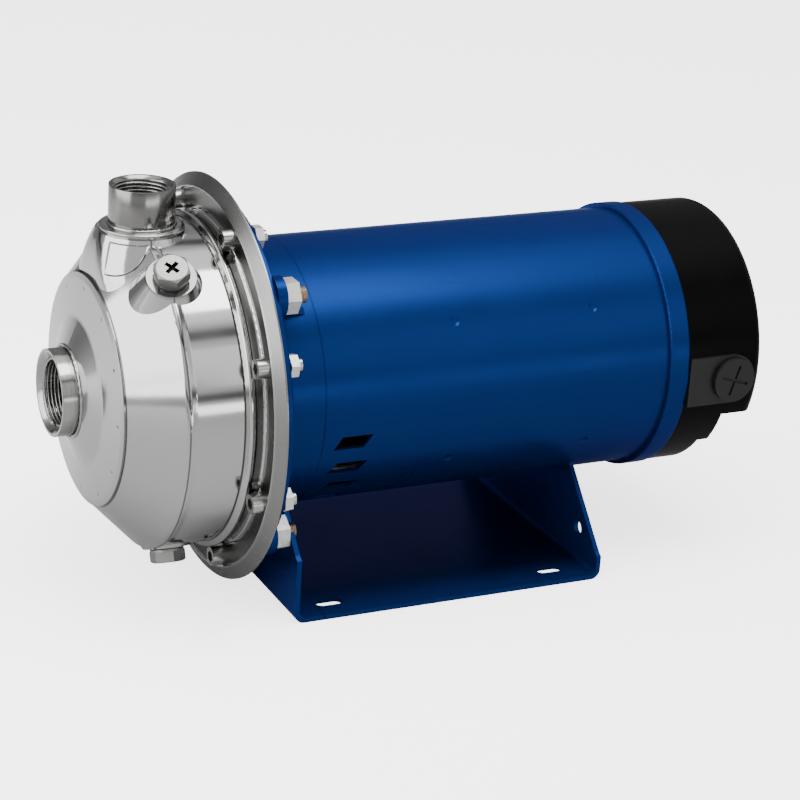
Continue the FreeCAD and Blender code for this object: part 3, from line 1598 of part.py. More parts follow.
def make_base():
    """The bent sheet base: floor, two upright ends with cradles, slots."""
    body = piece("base", along=0, up=0)
    sheet_r = S.bend_r + S.base_sheet
    top = S.shaft_height
    t = S.base_sheet
    drawing = draw(body, "XZ_Plane")
    outline(
        drawing,
        [
            (-S.base_front, 0, sheet_r),
            (S.base_rear, 0, sheet_r),
            (S.base_rear, top),
            (S.base_rear - t, top),
            (S.base_rear - t, t, S.bend_r),
            (-S.base_front + t, t, S.bend_r),
            (-S.base_front + t, top),
            (-S.base_front, top),
        ],
    )
    raised(body, drawing, S.base_half * 2, both_ways=True)
    far = S.base_half + 10
    for plane, cheek, lean, top_half, inwards in (
        (-S.base_front - 1, S.front_cheek, S.front_lean, S.front_top_half, True),
        (S.base_rear + 1, S.rear_cheek, S.rear_lean, S.rear_top_half, False),
    ):
        for side in (1, -1):
            drawing = draw(body, "YZ_Plane", plane)
            loop = [
                (far * side, cheek),
                (far * side, top + 5),
                (top_half * 0.6 * side, top + 5),
                (top_half * side, top - lean, 10),
                (S.base_half * side, cheek, 12),
            ]
            outline(drawing, loop[::side])
            cut(body, drawing, t + 5, reverse=inwards)
    drawing = draw(body, "YZ_Plane")
    disc(drawing, 0, S.shaft_height, S.barrel_r + S.cradle_gap)
    cut(body, drawing)
    relief = draw(body, "YZ_Plane", -S.base_front - 1)
    for side in (1, -1):
        for radius, size in ((S.barrel_r, S.rib_height), (S.lug_circle_r, S.stud_r + 2)):
            across, drop = on_circle(radius, as_size(45))
            disc(relief, across * side, S.shaft_height - drop, size)
    cut(body, relief, t + 5, reverse=True)
    drawing = draw(body, "YZ_Plane", S.base_rear + 1)
    for side in (1, -1):
        disc(drawing, S.earth_across * side, S.earth_rise, S.earth_r)
    cut(body, drawing, t + 3)
    for across in (-S.slot_along / 2, S.slot_along / 2):
        for up in (-S.slot_across / 2, S.slot_across / 2):
            drawing = draw(body, "XY_Plane")
            half = (S.slot_length - S.slot_width) / 2
            r = S.slot_width / 2
            outline(
                drawing,
                [(across - half, up - r), (across + half, up - r),
                 (across + half, up + r), (across - half, up + r)],
                {1: (HALF, 1), 3: (HALF, 1)},
            )
            cut(body, drawing)


make_casing()
make_suction_boss()
make_discharge()
for name, place in PLUGS.items():
    make_water_plug(name, *place)
make_casing_gasket()
make_seal_housing()
make_diffuser()
make_wear_ring()
make_impeller()
make_impeller_fixings()
make_seal()
make_flange_fastenings()
make_adapter()
make_adapter_fastenings()
make_shaft()
make_bearing("front_bearing", S.front_bearing)
make_bearing("rear_bearing", S.rear_bearing)
rear_end = S.rear_bearing + S.bearing_width
ring_piece("wave_washer", rear_end, rear_end + S.spring_washer, S.bearing_r - 4, S.bearing_r - 0.2)
ring_piece(
    "water_slinger", S.slinger_back, S.slinger_back + S.slinger_thick,
    S.shaft_r + S.fit_gap, S.slinger_r, 1.2,
)
make_rotor()
make_stator()
make_shell()
make_end_bell()
make_through_bolts()
make_governor()
make_cover()
make_conduit()
make_electrics()
make_base()
doc.recompute()

broken = [
    thing.Label + " " + thing.Name
    for thing in doc.Objects
    if "Invalid" in thing.State or "Error" in thing.State
]
nodes = [
    thing for thing in doc.Objects
    if thing.TypeId == "PartDesign::Body" or thing.TypeId == "Part::Feature"
]
for node in nodes:
    if node.Shape.isNull() or not node.Shape.isValid() or not node.Shape.Solids:
        broken.append("shape of " + node.Label)
if broken:
    raise RuntimeError("failed: " + ", ".join(broken))
for node in nodes:
    node.Shape.exportStep("parts/%s.step" % node.Label)
    print(node.Label, len(node.Shape.Solids), round(node.Shape.Volume))
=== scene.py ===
import math

import bpy
from mathutils import Matrix, Vector


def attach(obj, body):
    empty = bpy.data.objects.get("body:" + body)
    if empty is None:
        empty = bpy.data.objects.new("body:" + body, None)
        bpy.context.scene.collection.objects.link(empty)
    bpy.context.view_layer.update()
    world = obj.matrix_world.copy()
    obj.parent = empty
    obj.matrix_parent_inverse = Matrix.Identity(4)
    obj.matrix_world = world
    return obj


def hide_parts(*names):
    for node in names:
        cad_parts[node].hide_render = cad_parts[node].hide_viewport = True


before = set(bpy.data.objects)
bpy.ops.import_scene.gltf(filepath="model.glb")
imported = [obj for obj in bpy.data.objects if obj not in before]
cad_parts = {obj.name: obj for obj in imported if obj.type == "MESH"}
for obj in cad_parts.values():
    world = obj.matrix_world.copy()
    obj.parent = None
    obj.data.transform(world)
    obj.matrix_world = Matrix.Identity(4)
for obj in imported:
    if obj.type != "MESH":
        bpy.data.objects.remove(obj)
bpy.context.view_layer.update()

# Pump casing: one drawn shell of stainless sheet, rolled out to a flat flange and a thin lip.
# The sheet is polished, and shows the faint round lines of the polishing wheel.
# It is welded to the bosses, and the screws of the flange clamp it to the motor's bracket.
SHAFT_UP = 0.127
OUTLET = Vector((-0.1735, 0.0, 0.2253))
FILL_SEAT = Vector((-0.175, -0.05555, 0.21255))
DRUM_R, FLANGE_ROOT_R, FLANGE_LIP_R = 0.097, 0.1035, 0.116
DISC_X, DISC_EDGE_X, DISC_EDGE_R = -0.200, -0.2050, 0.0712
STEP_X, BEAD_LINES = -0.1772, (-0.1438, -0.1379)
CREASE_HALF, STEP_HALF, BEAD_HALF = 0.0012, 0.0007, 0.0008
# Size of the painted shadow ring round the fill plug's pad.
PAD_SHADOW_R, PAD_SHADOW_HALF = 0.0125, 0.0036
FACET_OUT, FACET_ACROSS = Vector((-0.68, -0.733, 0.0)), Vector((0.733, -0.68, 0.0))
FACET_HALF, FACET_DROP, FACET_SHIFT, FACET_TOP = 0.0125, 0.0185, 0.003, 0.002
FACET_CORNER, FACET_REACH = 2.6, (0.012, 0.016)
SPOT_COUNT, SPOT_RING_R, SPOT_R = 12, 0.0635, 0.0012
PRESSED_DEPTH, SPOT_DEPTH = 0.0012, 0.4


def group(name, inputs, outputs):
    """A shader node group with number inputs, and outputs of the kinds given."""
    made = bpy.data.node_groups.new(name, "ShaderNodeTree")
    for label, value in inputs.items():
        socket = made.interface.new_socket(label, in_out="INPUT", socket_type="NodeSocketFloat")
        socket.default_value = value
    for label, kind in outputs.items():
        made.interface.new_socket(label, in_out="OUTPUT", socket_type="NodeSocket" + kind)
    return made, made.nodes.new("NodeGroupInput"), made.nodes.new("NodeGroupOutput")


def node(tree, kind, **values):
    """A node with its settings; a key that names an input sets the input's value."""
    made = tree.nodes.new("ShaderNode" + kind)
    for key, value in values.items():
        if hasattr(made, key):
            setattr(made, key, value)
        else:
            made.inputs[key].default_value = value
    return made


def maths(tree, operation, first, second=0.0):
    """One step of arithmetic between two sockets or numbers; gives the result's socket."""
    made = node(tree, "Math", operation=operation)
    for index, value in enumerate((first, second)):
        if isinstance(value, (int, float)):
            made.inputs[index].default_value = value
        else:
            tree.links.new(value, made.inputs[index])
    return made.outputs[0]


def both(tree, *masks):
    """The product of masks and numbers: strong only where all of them are."""
    made = masks[0]
    for mask in masks[1:]:
        made = maths(tree, "MULTIPLY", made, mask)
    return made


def either(tree, *masks):
    """The strongest of several masks."""
    made = masks[0]
    for mask in masks[1:]:
        made = maths(tree, "MAXIMUM", made, mask)
    return made


def soft_step(tree, value, nothing_at, one_at):
    """A mask that runs softly from nothing at one value to one at another, up or down."""
    made = node(tree, "MapRange", interpolation_type="SMOOTHSTEP")
    made.inputs["From Min"].default_value = nothing_at
    made.inputs["From Max"].default_value = one_at
    tree.links.new(value, made.inputs["Value"])
    return made.outputs["Result"]


def band(tree, value, middle, half):
    """One close to a value and nothing beyond half a width from it, with soft edges."""
    off = maths(tree, "ABSOLUTE", maths(tree, "SUBTRACT", value, middle))
    return soft_step(tree, off, half, half * 0.4)


def place_on_pump(tree):
    """The place of the surface on the pump, as one socket."""
    return node(tree, "TexCoord").outputs["Object"]


def parts_of(tree, place):
    """The three parts of a place, as sockets."""
    parts = node(tree, "SeparateXYZ")
    tree.links.new(place, parts.inputs[0])
    return parts.outputs


def vector_step(tree, operation, first, second=None):
    """One step of arithmetic on a place; the second value is a fixed vector."""
    made = node(tree, "VectorMath", operation=operation)
    tree.links.new(first, made.inputs[0])
    if second is not None:
        made.inputs[1].default_value = second
    return made.outputs


def distance_from(tree, point):
    """How far the surface lies from a point of the pump."""
    return vector_step(tree, "DISTANCE", place_on_pump(tree), point)["Value"]


def round_the_shaft(tree):
    """Distance from the shaft's axis, angle round it and place along it, as three sockets."""
    moved = node(tree, "Mapping", vector_type="POINT")
    moved.inputs["Location"].default_value = (0.0, 0.0, -SHAFT_UP)
    tree.links.new(place_on_pump(tree), moved.inputs["Vector"])
    along, across, up = parts_of(tree, moved.outputs[0])
    squares = maths(tree, "ADD", both(tree, across, across), both(tree, up, up))
    return maths(tree, "SQRT", squares), maths(tree, "ARCTAN2", up, across), along


def spun_grain():
    """Fine lines that run round the shaft, as a polishing wheel or a lathe leaves them."""
    made, given, result = group(
        "spun grain", {"Lines per metre": 9000.0, "Waver": 2.0}, {"Mask": "Float"})
    radius, angle, along = round_the_shaft(made)
    lines = node(made, "CombineXYZ")
    made.links.new(both(made, radius, given.outputs[0]), lines.inputs[0])
    made.links.new(both(made, angle, given.outputs[1]), lines.inputs[1])
    made.links.new(both(made, along, given.outputs[0]), lines.inputs[2])
    noise = node(made, "TexNoise", Scale=1.0, Detail=3.0, Roughness=0.6)
    made.links.new(lines.outputs[0], noise.inputs["Vector"])
    made.links.new(noise.outputs["Fac"], result.inputs["Mask"])
    return made


def handling_marks():
    """Soft cloudy patches where a surface is a little duller from oil, wiping and handling."""
    made, given, result = group(
        "handling marks", {"Size": 18.0, "Low": 0.16, "High": 0.3}, {"Roughness": "Float"})
    noise = node(made, "TexNoise", Detail=4.0, Roughness=0.62)
    made.links.new(place_on_pump(made), noise.inputs["Vector"])
    made.links.new(given.outputs["Size"], noise.inputs["Scale"])
    spread = node(made, "MapRange", interpolation_type="SMOOTHSTEP")
    spread.inputs["From Min"].default_value = 0.3
    spread.inputs["From Max"].default_value = 0.7
    made.links.new(noise.outputs["Fac"], spread.inputs["Value"])
    made.links.new(given.outputs["Low"], spread.inputs["To Min"])
    made.links.new(given.outputs["High"], spread.inputs["To Max"])
    made.links.new(spread.outputs["Result"], result.inputs["Roughness"])
    return made


SPUN_GRAIN = spun_grain()
HANDLING_MARKS = handling_marks()


def placed(tree, made_group, **values):
    """One use of a node group in a material, with its own values."""
    made = tree.nodes.new("ShaderNodeGroup")
    made.node_tree = made_group
    for key, value in values.items():
        made.inputs[key.replace("_", " ")].default_value = value
    return made.outputs[0]


def finish(name, colour, **values):
    """A new material: its tree and its Principled shader, with the plain values set on the shader."""
    material = bpy.data.materials.new(name)
    material.use_nodes = True
    shader = material.node_tree.nodes["Principled BSDF"]
    shader.inputs["Base Color"].default_value = (*colour, 1.0)
    for key, value in values.items():
        shader.inputs[key.replace("_", " ")].default_value = value
    return material, material.node_tree, shader


def bump(tree, height, distance, strength=1.0):
    """A bump whose height is given in parts of a distance."""
    made = node(tree, "Bump", Strength=strength, Distance=distance)
    tree.links.new(height, made.inputs["Height"])
    return made


def lay_over(tree, shader, fine, forms=None):
    """Feeds a fine bump to the shader, with the larger pressed forms below it."""
    tree.links.new(fine.outputs[0], shader.inputs["Normal"])
    if forms is not None:
        tree.links.new(forms.outputs[0], fine.inputs["Normal"])


def mixed(tree, mask, first, second):
    """A colour that runs from one to another with a mask; each is three numbers or a socket."""
    mix = node(tree, "Mix", data_type="RGBA")
    tree.links.new(mask, mix.inputs[0])
    for index, colour in ((6, first), (7, second)):
        if isinstance(colour, tuple):
            mix.inputs[index].default_value = (*colour, 1.0)
        else:
            tree.links.new(colour, mix.inputs[index])
    return mix.outputs[2]


def tinted(tree, shader, mask, first, second):
    """The shader's colour runs from one to another with a mask."""
    tree.links.new(mixed(tree, mask, first, second), shader.inputs["Base Color"])


def steel(name, dark, bright, low, high, lines=9000.0, depth=0.000004):
    """Bare steel with spun lines and handling marks."""
    material, tree, shader = finish(name, bright, Metallic=1.0)
    grain = placed(tree, SPUN_GRAIN, Lines_per_metre=lines)
    tree.links.new(placed(tree, HANDLING_MARKS, Low=low, High=high), shader.inputs["Roughness"])
    tinted(tree, shader, grain, dark, bright)
    lay_over(tree, shader, bump(tree, grain, depth))
    return material


def dress(material, *names):
    """Gives a material to CAD pieces and keeps their shapes."""
    for name in names:
        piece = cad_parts[name]
        piece.data.materials.clear()
        piece.data.materials.append(material)


def pressed_facet(tree):
    """The flat that the press leaves under the collar: straight above, round at its lower right."""
    from_outlet = vector_step(tree, "SUBTRACT", place_on_pump(tree), OUTLET)[0]
    beside, down, out = [vector_step(tree, "DOT_PRODUCT", from_outlet, way)["Value"]
                         for way in (FACET_ACROSS, Vector((0.0, 0.0, -1.0)), FACET_OUT)]
    across = maths(tree, "DIVIDE", maths(tree, "ADD", beside, FACET_HALF - FACET_SHIFT), 2 * FACET_HALF)
    drop = maths(tree, "DIVIDE", maths(tree, "SUBTRACT", down, FACET_TOP), FACET_DROP)
    rounded = maths(tree, "ADD", maths(tree, "POWER", maths(tree, "MAXIMUM", across, 0.0), FACET_CORNER),
                    maths(tree, "POWER", maths(tree, "MAXIMUM", drop, 0.0), FACET_CORNER))
    return both(tree, soft_step(tree, across, 0.0, 0.13), soft_step(tree, drop, 0.0, 0.06),
                soft_step(tree, rounded, 1.0, 0.86), soft_step(tree, out, *FACET_REACH))


def spot_welds(tree, radius, angle, along):
    """Small dark dots in a ring on the front disc, where the inner cup is spot welded to it."""
    turn = both(tree, angle, SPOT_COUNT / 2)
    aside = both(tree, maths(tree, "SINE", turn), SPOT_RING_R * 2 / SPOT_COUNT)
    off = maths(tree, "SUBTRACT", radius, SPOT_RING_R)
    away = maths(tree, "SQRT", maths(tree, "ADD", both(tree, aside, aside), both(tree, off, off)))
    on_disc = soft_step(tree, along, DISC_X, DISC_X - 0.004)
    return both(tree, soft_step(tree, away, SPOT_R, SPOT_R * 0.4), on_disc)


def painted_crease_shade(tree, radius, along):
    """Painted shade: dark lines at the disc's edge, the drum's step and both sides of the bead, and a
    painted shadow ring round the fill plug.
    """
    on_disc = soft_step(tree, along, DISC_EDGE_X, DISC_EDGE_X - 0.0006)
    on_drum = soft_step(tree, radius, DRUM_R - 0.0005, DRUM_R + 0.0005)
    disc_edge = both(tree, band(tree, radius, DISC_EDGE_R, CREASE_HALF), on_disc)
    step = both(tree, band(tree, along, STEP_X, STEP_HALF), on_drum, 0.8)
    bead = [both(tree, band(tree, along, line, BEAD_HALF), on_drum) for line in BEAD_LINES]
    pad_shadow = both(tree, band(tree, distance_from(tree, FILL_SEAT), PAD_SHADOW_R, PAD_SHADOW_HALF), 0.7)
    return either(tree, disc_edge, step, *bead, pad_shadow)


casing_steel, tree, shader = finish("casing steel", (0.46, 0.458, 0.454), Metallic=1.0)
radius, angle, along = round_the_shaft(tree)
grain = placed(tree, SPUN_GRAIN, Lines_per_metre=5200.0, Waver=2.4)
marks = placed(tree, HANDLING_MARKS, Size=9.0, Low=0.085, High=0.15)
flange = both(tree, soft_step(tree, radius, FLANGE_ROOT_R, FLANGE_ROOT_R + 0.0025),
              soft_step(tree, radius, FLANGE_LIP_R, FLANGE_LIP_R - 0.002))
lip = soft_step(tree, radius, FLANGE_LIP_R - 0.001, FLANGE_LIP_R + 0.002)
welds = spot_welds(tree, radius, angle, along)
# Painted shade and reflection: the flange face and its lip are painted dark.
painted_dark_flange = maths(tree, "ADD", both(tree, flange, 0.95), both(tree, lip, 0.6))
# The dark lines at the creases and the ring round the fill plug are painted shade.
tinted(tree, shader, either(tree, painted_dark_flange, welds, painted_crease_shade(tree, radius, along)),
       (0.44, 0.438, 0.434), (0.06, 0.06, 0.058))
duller = both(tree, maths(tree, "ADD", flange, lip), 0.17)
tree.links.new(maths(tree, "ADD", marks, duller), shader.inputs["Roughness"])
forms = maths(tree, "ADD", both(tree, pressed_facet(tree), -1.0), both(tree, welds, -SPOT_DEPTH))
lay_over(tree, shader, bump(tree, grain, 0.000002), bump(tree, forms, PRESSED_DEPTH))
dress(casing_steel, "casing")

# Wet parts inside the casing: impeller, diffuser and seal housing.
# All three are pressed from stainless sheet, spot welded and polished.
pressed_steel = steel("pressed steel", (0.6, 0.597, 0.59), (0.7, 0.697, 0.69), 0.1, 0.17, depth=0.0000015)
dress(pressed_steel, "seal_housing", "diffuser", "impeller")

# Suction and discharge bosses: short pipes turned from stainless bar, with female pipe threads.
# The suction boss passes through the casing's front disc and the discharge boss stands in a
# turned collar. Each is welded in all round, which leaves a narrow bead.
SUCTION_BORE_R, SUCTION_LENGTH, SUCTION_ROOT_X = 0.0202, 0.014, -0.215
SUCTION_THREAD_X, SUCTION_THREAD_LENGTH = -0.2262, 0.0125
OUTLET_BORE_R, OUTLET_LENGTH = 0.016, 0.0267
OUTLET_THREAD_Z, OUTLET_THREAD_LENGTH = 0.2340, 0.0165
SUCTION_WELD_X, OUTLET_WELD_Z = -0.2183, 0.2286
PIPE_PITCH, THREAD_INSET, THREAD_STEPS = 0.002209, 0.0001, 40
RIM_ROUND, RIM_ANGLE = 0.0004, math.radians(25)
QUARTER_TURN = math.pi / 2


def select_faces(piece, wanted):
    """Selects only the faces whose middle and normal pass a test, and goes on in edit mode."""
    bpy.ops.object.mode_set(mode="EDIT")
    bpy.ops.mesh.select_mode(type="FACE")
    bpy.ops.mesh.select_all(action="DESELECT")
    bpy.ops.object.mode_set(mode="OBJECT")
    for face in piece.data.polygons:
        face.select = wanted(face.center, face.normal)
    bpy.ops.object.mode_set(mode="EDIT")


def turned_boss(name, outer_r, mouth_r, bore_r, length, flare):
    """A short pipe on the Z axis, with its flared mouth at the top: drawn from one cylinder."""
    bpy.ops.object.select_all(action="DESELECT")
    bpy.ops.mesh.primitive_cylinder_add(
        vertices=128, radius=outer_r, depth=length, location=(0.0, 0.0, length / 2))
    boss = bpy.context.object
    boss.name = name
    bpy.ops.object.transform_apply(location=True, rotation=True, scale=True)
    select_faces(boss, lambda middle, normal: normal.z > 0.9)
    bpy.ops.mesh.inset(thickness=outer_r - mouth_r)
    bpy.ops.mesh.extrude_region_move(TRANSFORM_OT_translate={"value": (0.0, 0.0, -flare)})
    narrow = bore_r / mouth_r
    bpy.ops.transform.resize(value=(narrow, narrow, 1.0), center_override=(0.0, 0.0, length - flare))
    bpy.ops.mesh.extrude_region_move(TRANSFORM_OT_translate={"value": (0.0, 0.0, flare - length)})
    bpy.ops.mesh.delete(type="FACE")
    select_faces(boss, lambda middle, normal: normal.z < -0.9 and middle.xy.length < 0.001)
    bpy.ops.mesh.delete(type="FACE")
    bpy.ops.mesh.select_mode(type="EDGE")
    bpy.ops.mesh.select_non_manifold()
    bpy.ops.mesh.bridge_edge_loops()
    bpy.ops.mesh.select_all(action="SELECT")
    bpy.ops.mesh.normals_make_consistent(inside=False)
    bpy.ops.object.mode_set(mode="OBJECT")
    rim = boss.modifiers.new("rim", "BEVEL")
    rim.width, rim.segments, rim.limit_method, rim.angle_limit = RIM_ROUND, 2, "ANGLE", RIM_ANGLE
    bpy.ops.object.modifier_apply(modifier="rim")
    bpy.ops.object.shade_smooth_by_angle(angle=RIM_ANGLE)
    return boss


def pipe_thread(name, bore_r, length):
    """One run of thread round the Z axis: a triangle swept along a helix, closed at both ends."""
    middle = (bore_r - THREAD_INSET, 0.0, 0.0)
    bpy.ops.object.select_all(action="DESELECT")
    bpy.ops.mesh.primitive_circle_add(vertices=3, radius=PIPE_PITCH * 0.6, fill_type="NOTHING",
                                      location=middle, rotation=(QUARTER_TURN, 0.0, 0.0))
    thread = bpy.context.object
    thread.name = name
    bpy.ops.object.transform_apply(location=True, rotation=True, scale=True)
    bpy.ops.object.mode_set(mode="EDIT")
    bpy.ops.mesh.select_all(action="SELECT")
    bpy.ops.transform.rotate(value=QUARTER_TURN, orient_axis="Y", center_override=middle)
    bpy.ops.object.mode_set(mode="OBJECT")
    sweep = thread.modifiers.new("sweep", "SCREW")
    sweep.axis, sweep.screw_offset = "Z", PIPE_PITCH
    sweep.iterations = int(length / PIPE_PITCH)
    sweep.steps = sweep.render_steps = THREAD_STEPS
    bpy.ops.object.modifier_apply(modifier="sweep")
    bpy.ops.object.mode_set(mode="EDIT")
    bpy.ops.mesh.select_all(action="SELECT")
    bpy.ops.mesh.remove_doubles(threshold=0.00001)
    bpy.ops.mesh.fill_holes(sides=4)
    bpy.ops.mesh.normals_make_consistent(inside=False)
    bpy.ops.object.mode_set(mode="OBJECT")
    return thread


def weld_bead(name, ring_r, bead_r):
    """A narrow ring of weld metal with the small ripples of its pools."""
    bpy.ops.object.select_all(action="DESELECT")
    bpy.ops.mesh.primitive_torus_add(
        major_radius=ring_r, minor_radius=bead_r, major_segments=144, minor_segments=10)
    bead = bpy.context.object
    bead.name = name
    for vertex in bead.data.vertices:
        turn = math.atan2(vertex.co.y, vertex.co.x)
        vertex.co.z *= 1.0 + 0.14 * math.sin(36 * turn) + 0.06 * math.sin(7 * turn)
    bpy.ops.object.shade_smooth()
    return bead


def on_pump(piece, material, place, turn=(0.0, 0.0, 0.0)):
    """Sets a new piece down, object at the origin and unturned, and fixes it to the still body."""
    bpy.ops.object.select_all(action="DESELECT")
    piece.select_set(True)
    bpy.context.view_layer.objects.active = piece
    piece.location, piece.rotation_euler = place, turn
    bpy.ops.object.transform_apply(location=True, rotation=True, scale=True)
    piece.data.materials.clear()
    piece.data.materials.append(material)
    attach(piece, "pump")


turned_steel = steel("turned steel", (0.16, 0.158, 0.154), (0.5, 0.496, 0.49), 0.14, 0.24, lines=5200.0)
# Painted shade: the discharge boss gets a darker copy of the turned steel.
shaded_outlet_steel = steel("shaded outlet steel", (0.07, 0.069, 0.067), (0.34, 0.337, 0.33), 0.14, 0.24, lines=5200.0)
thread_steel, tree, shader = finish("cut thread steel", (0.3, 0.298, 0.293), Metallic=1.0)
tree.links.new(placed(tree, HANDLING_MARKS, Size=60.0, Low=0.16, High=0.3), shader.inputs["Roughness"])
dress(turned_steel, "discharge_collar")

suction_pipe = turned_boss("suction_pipe", outer_r=0.0265, mouth_r=0.0247, bore_r=SUCTION_BORE_R,
                           length=SUCTION_LENGTH, flare=0.0042)
on_pump(suction_pipe, turned_steel, (SUCTION_ROOT_X, 0.0, SHAFT_UP), (0.0, -QUARTER_TURN, 0.0))
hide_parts("suction_boss")
suction_thread = pipe_thread("suction_thread", SUCTION_BORE_R, SUCTION_THREAD_LENGTH)
on_pump(suction_thread, thread_steel, (SUCTION_THREAD_X, 0.0, SHAFT_UP), (0.0, QUARTER_TURN, 0.0))
suction_bead = weld_bead("suction_weld", ring_r=0.0278, bead_r=0.0010)
on_pump(suction_bead, turned_steel, (SUCTION_WELD_X, 0.0, SHAFT_UP), (0.0, QUARTER_TURN, 0.0))

discharge_pipe = turned_boss("discharge_pipe", outer_r=0.0198, mouth_r=0.0181, bore_r=OUTLET_BORE_R,
                             length=OUTLET_LENGTH, flare=0.0022)
on_pump(discharge_pipe, shaded_outlet_steel, OUTLET)
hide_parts("discharge_boss")
discharge_thread = pipe_thread("discharge_thread", OUTLET_BORE_R, OUTLET_THREAD_LENGTH)
on_pump(discharge_thread, thread_steel, (OUTLET.x, 0.0, OUTLET_THREAD_Z))
discharge_bead = weld_bead("discharge_weld", ring_r=0.0200, bead_r=0.0009)
on_pump(discharge_bead, turned_steel, (OUTLET.x, 0.0, OUTLET_WELD_Z))

# Fill and drain plugs: hexagon heads on straight threads, each on a rubber washer.
# Both are turned and milled from stainless bar. The fill plug has a cross recess, whose
# inside is painted near black as painted shade.
FILL_WAY = Vector((-0.17365, -0.53636, 0.82594))
CROWN_RISE, RECESS_R, RECESS_EDGE = 0.009, 0.0052, 0.0006
plug_steel = steel("plug steel", (0.16, 0.158, 0.155), (0.36, 0.357, 0.35), 0.34, 0.46, lines=2600.0)
tree = plug_steel.node_tree
from_crown = vector_step(tree, "SUBTRACT", place_on_pump(tree), FILL_SEAT + FILL_WAY * CROWN_RISE)[0]
depth = vector_step(tree, "DOT_PRODUCT", from_crown, -FILL_WAY)["Value"]
reach = vector_step(tree, "LENGTH", from_crown)["Value"]
# Painted shade: the inside of the cross recess is painted near black.
painted_recess_shade = both(tree, soft_step(tree, depth, 0.0001, 0.0006),
            soft_step(tree, reach, RECESS_R + RECESS_EDGE, RECESS_R))
shader = tree.nodes["Principled BSDF"]
bare = shader.inputs["Base Color"].links[0].from_socket
tinted(tree, shader, painted_recess_shade, bare, (0.004, 0.004, 0.004))
dress(plug_steel, "fill_plug", "drain_plug")

# Seals: black moulded rubber washers and rings, slightly dusty from the mould.
# The washers are squeezed between two pieces, the wear ring stands round the impeller's eye,
# and the water slinger sits on the motor shaft.
rubber, tree, shader = finish("moulded rubber", (0.022, 0.022, 0.023))
tree.links.new(placed(tree, HANDLING_MARKS, Size=40.0, Low=0.5, High=0.72), shader.inputs["Roughness"])
dress(rubber, "fill_plug_seal", "drain_plug_seal", "casing_gasket", "wear_ring", "conduit_gasket",
      "water_slinger")

# Screws, nuts and studs of the flange: stainless cap screws, zinc plated nuts, and studs
# with a yellow passivated plate. The through bolts, the capacitor's clip and the cover's
# screws are zinc plated too.
STUD_PITCH = 0.0015


def plated(name, dark, bright, low, high):
    """Plate on steel: a soft metal sheen with faint crystals and handling marks."""
    material, tree, shader = finish(name, bright, Metallic=1.0)
    crystals = node(tree, "TexNoise", Scale=420.0, Detail=3.0)
    tree.links.new(place_on_pump(tree), crystals.inputs["Vector"])
    tree.links.new(placed(tree, HANDLING_MARKS, Size=60.0, Low=low, High=high), shader.inputs["Roughness"])
    tinted(tree, shader, crystals.outputs["Fac"], dark, bright)
    lay_over(tree, shader, bump(tree, crystals.outputs["Fac"], 0.00003, 0.4))
    return material


screw_steel = steel("screw steel", (0.26, 0.26, 0.255), (0.5, 0.495, 0.485), 0.18, 0.3, lines=3000.0)
zinc = plated("zinc plate", (0.5, 0.5, 0.49), (0.78, 0.78, 0.76), 0.42, 0.6)
yellow_zinc = plated("yellow zinc plate", (0.34, 0.24, 0.13), (0.62, 0.48, 0.3), 0.26, 0.4)
tree = yellow_zinc.node_tree
radius, angle, along = round_the_shaft(tree)
crest = maths(tree, "SINE", maths(tree, "ADD", both(tree, along, 2 * math.pi / STUD_PITCH), angle))
lay_over(tree, tree.nodes["Principled BSDF"], bump(tree, crest, 0.0004))
dress(screw_steel, "flange_screws")
dress(zinc, "flange_nuts", "adapter_nuts", "through_bolts", "capacitor_clip", "cover_screws")
dress(yellow_zinc, "adapter_studs")

# Shaft, bearings and mechanical seal: ground and polished steel, carbon and white ceramic.
# The governor and the switch of the motor are moulded, and so is the board for its wires.
ground_steel = steel("ground steel", (0.5, 0.5, 0.51), (0.64, 0.64, 0.65), 0.14, 0.24, lines=16000.0)
bearing_steel = steel("bearing steel", (0.7, 0.7, 0.71), (0.78, 0.78, 0.79), 0.06, 0.12, lines=20000.0)


def moulded(name, colour, lighter, low, high, grain=900.0, depth=0.00002, **values):
    """Moulded or fired stuff: fine even grain, with a few softer patches."""
    material, tree, shader = finish(name, colour, **values)
    fine = node(tree, "TexNoise", Scale=grain, Detail=2.0)
    tree.links.new(place_on_pump(tree), fine.inputs["Vector"])
    tree.links.new(placed(tree, HANDLING_MARKS, Size=26.0, Low=low, High=high), shader.inputs["Roughness"])
    tinted(tree, shader, fine.outputs["Fac"], colour, lighter)
    lay_over(tree, shader, bump(tree, fine.outputs["Fac"], depth))
    return material


carbon = moulded("carbon and phenolic", (0.02, 0.02, 0.022), (0.05, 0.05, 0.052), 0.35, 0.5)
ceramic = moulded("white ceramic", (0.72, 0.71, 0.67), (0.82, 0.81, 0.78), 0.15, 0.22)
board = moulded("phenolic board", (0.16, 0.07, 0.03), (0.26, 0.12, 0.05), 0.35, 0.5)
dress(turned_steel, "impeller_nut", "impeller_washer", "seal_spring_holder")
dress(ground_steel, "motor_shaft", "impeller_key", "seal_spring", "wave_washer")
dress(bearing_steel, *[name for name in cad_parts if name.startswith(("front_bearing", "rear_bearing"))])
dress(carbon, "seal_head", "governor", "governor_collar")
dress(ceramic, "seal_seat")
dress(board, "start_switch", "terminal_board")

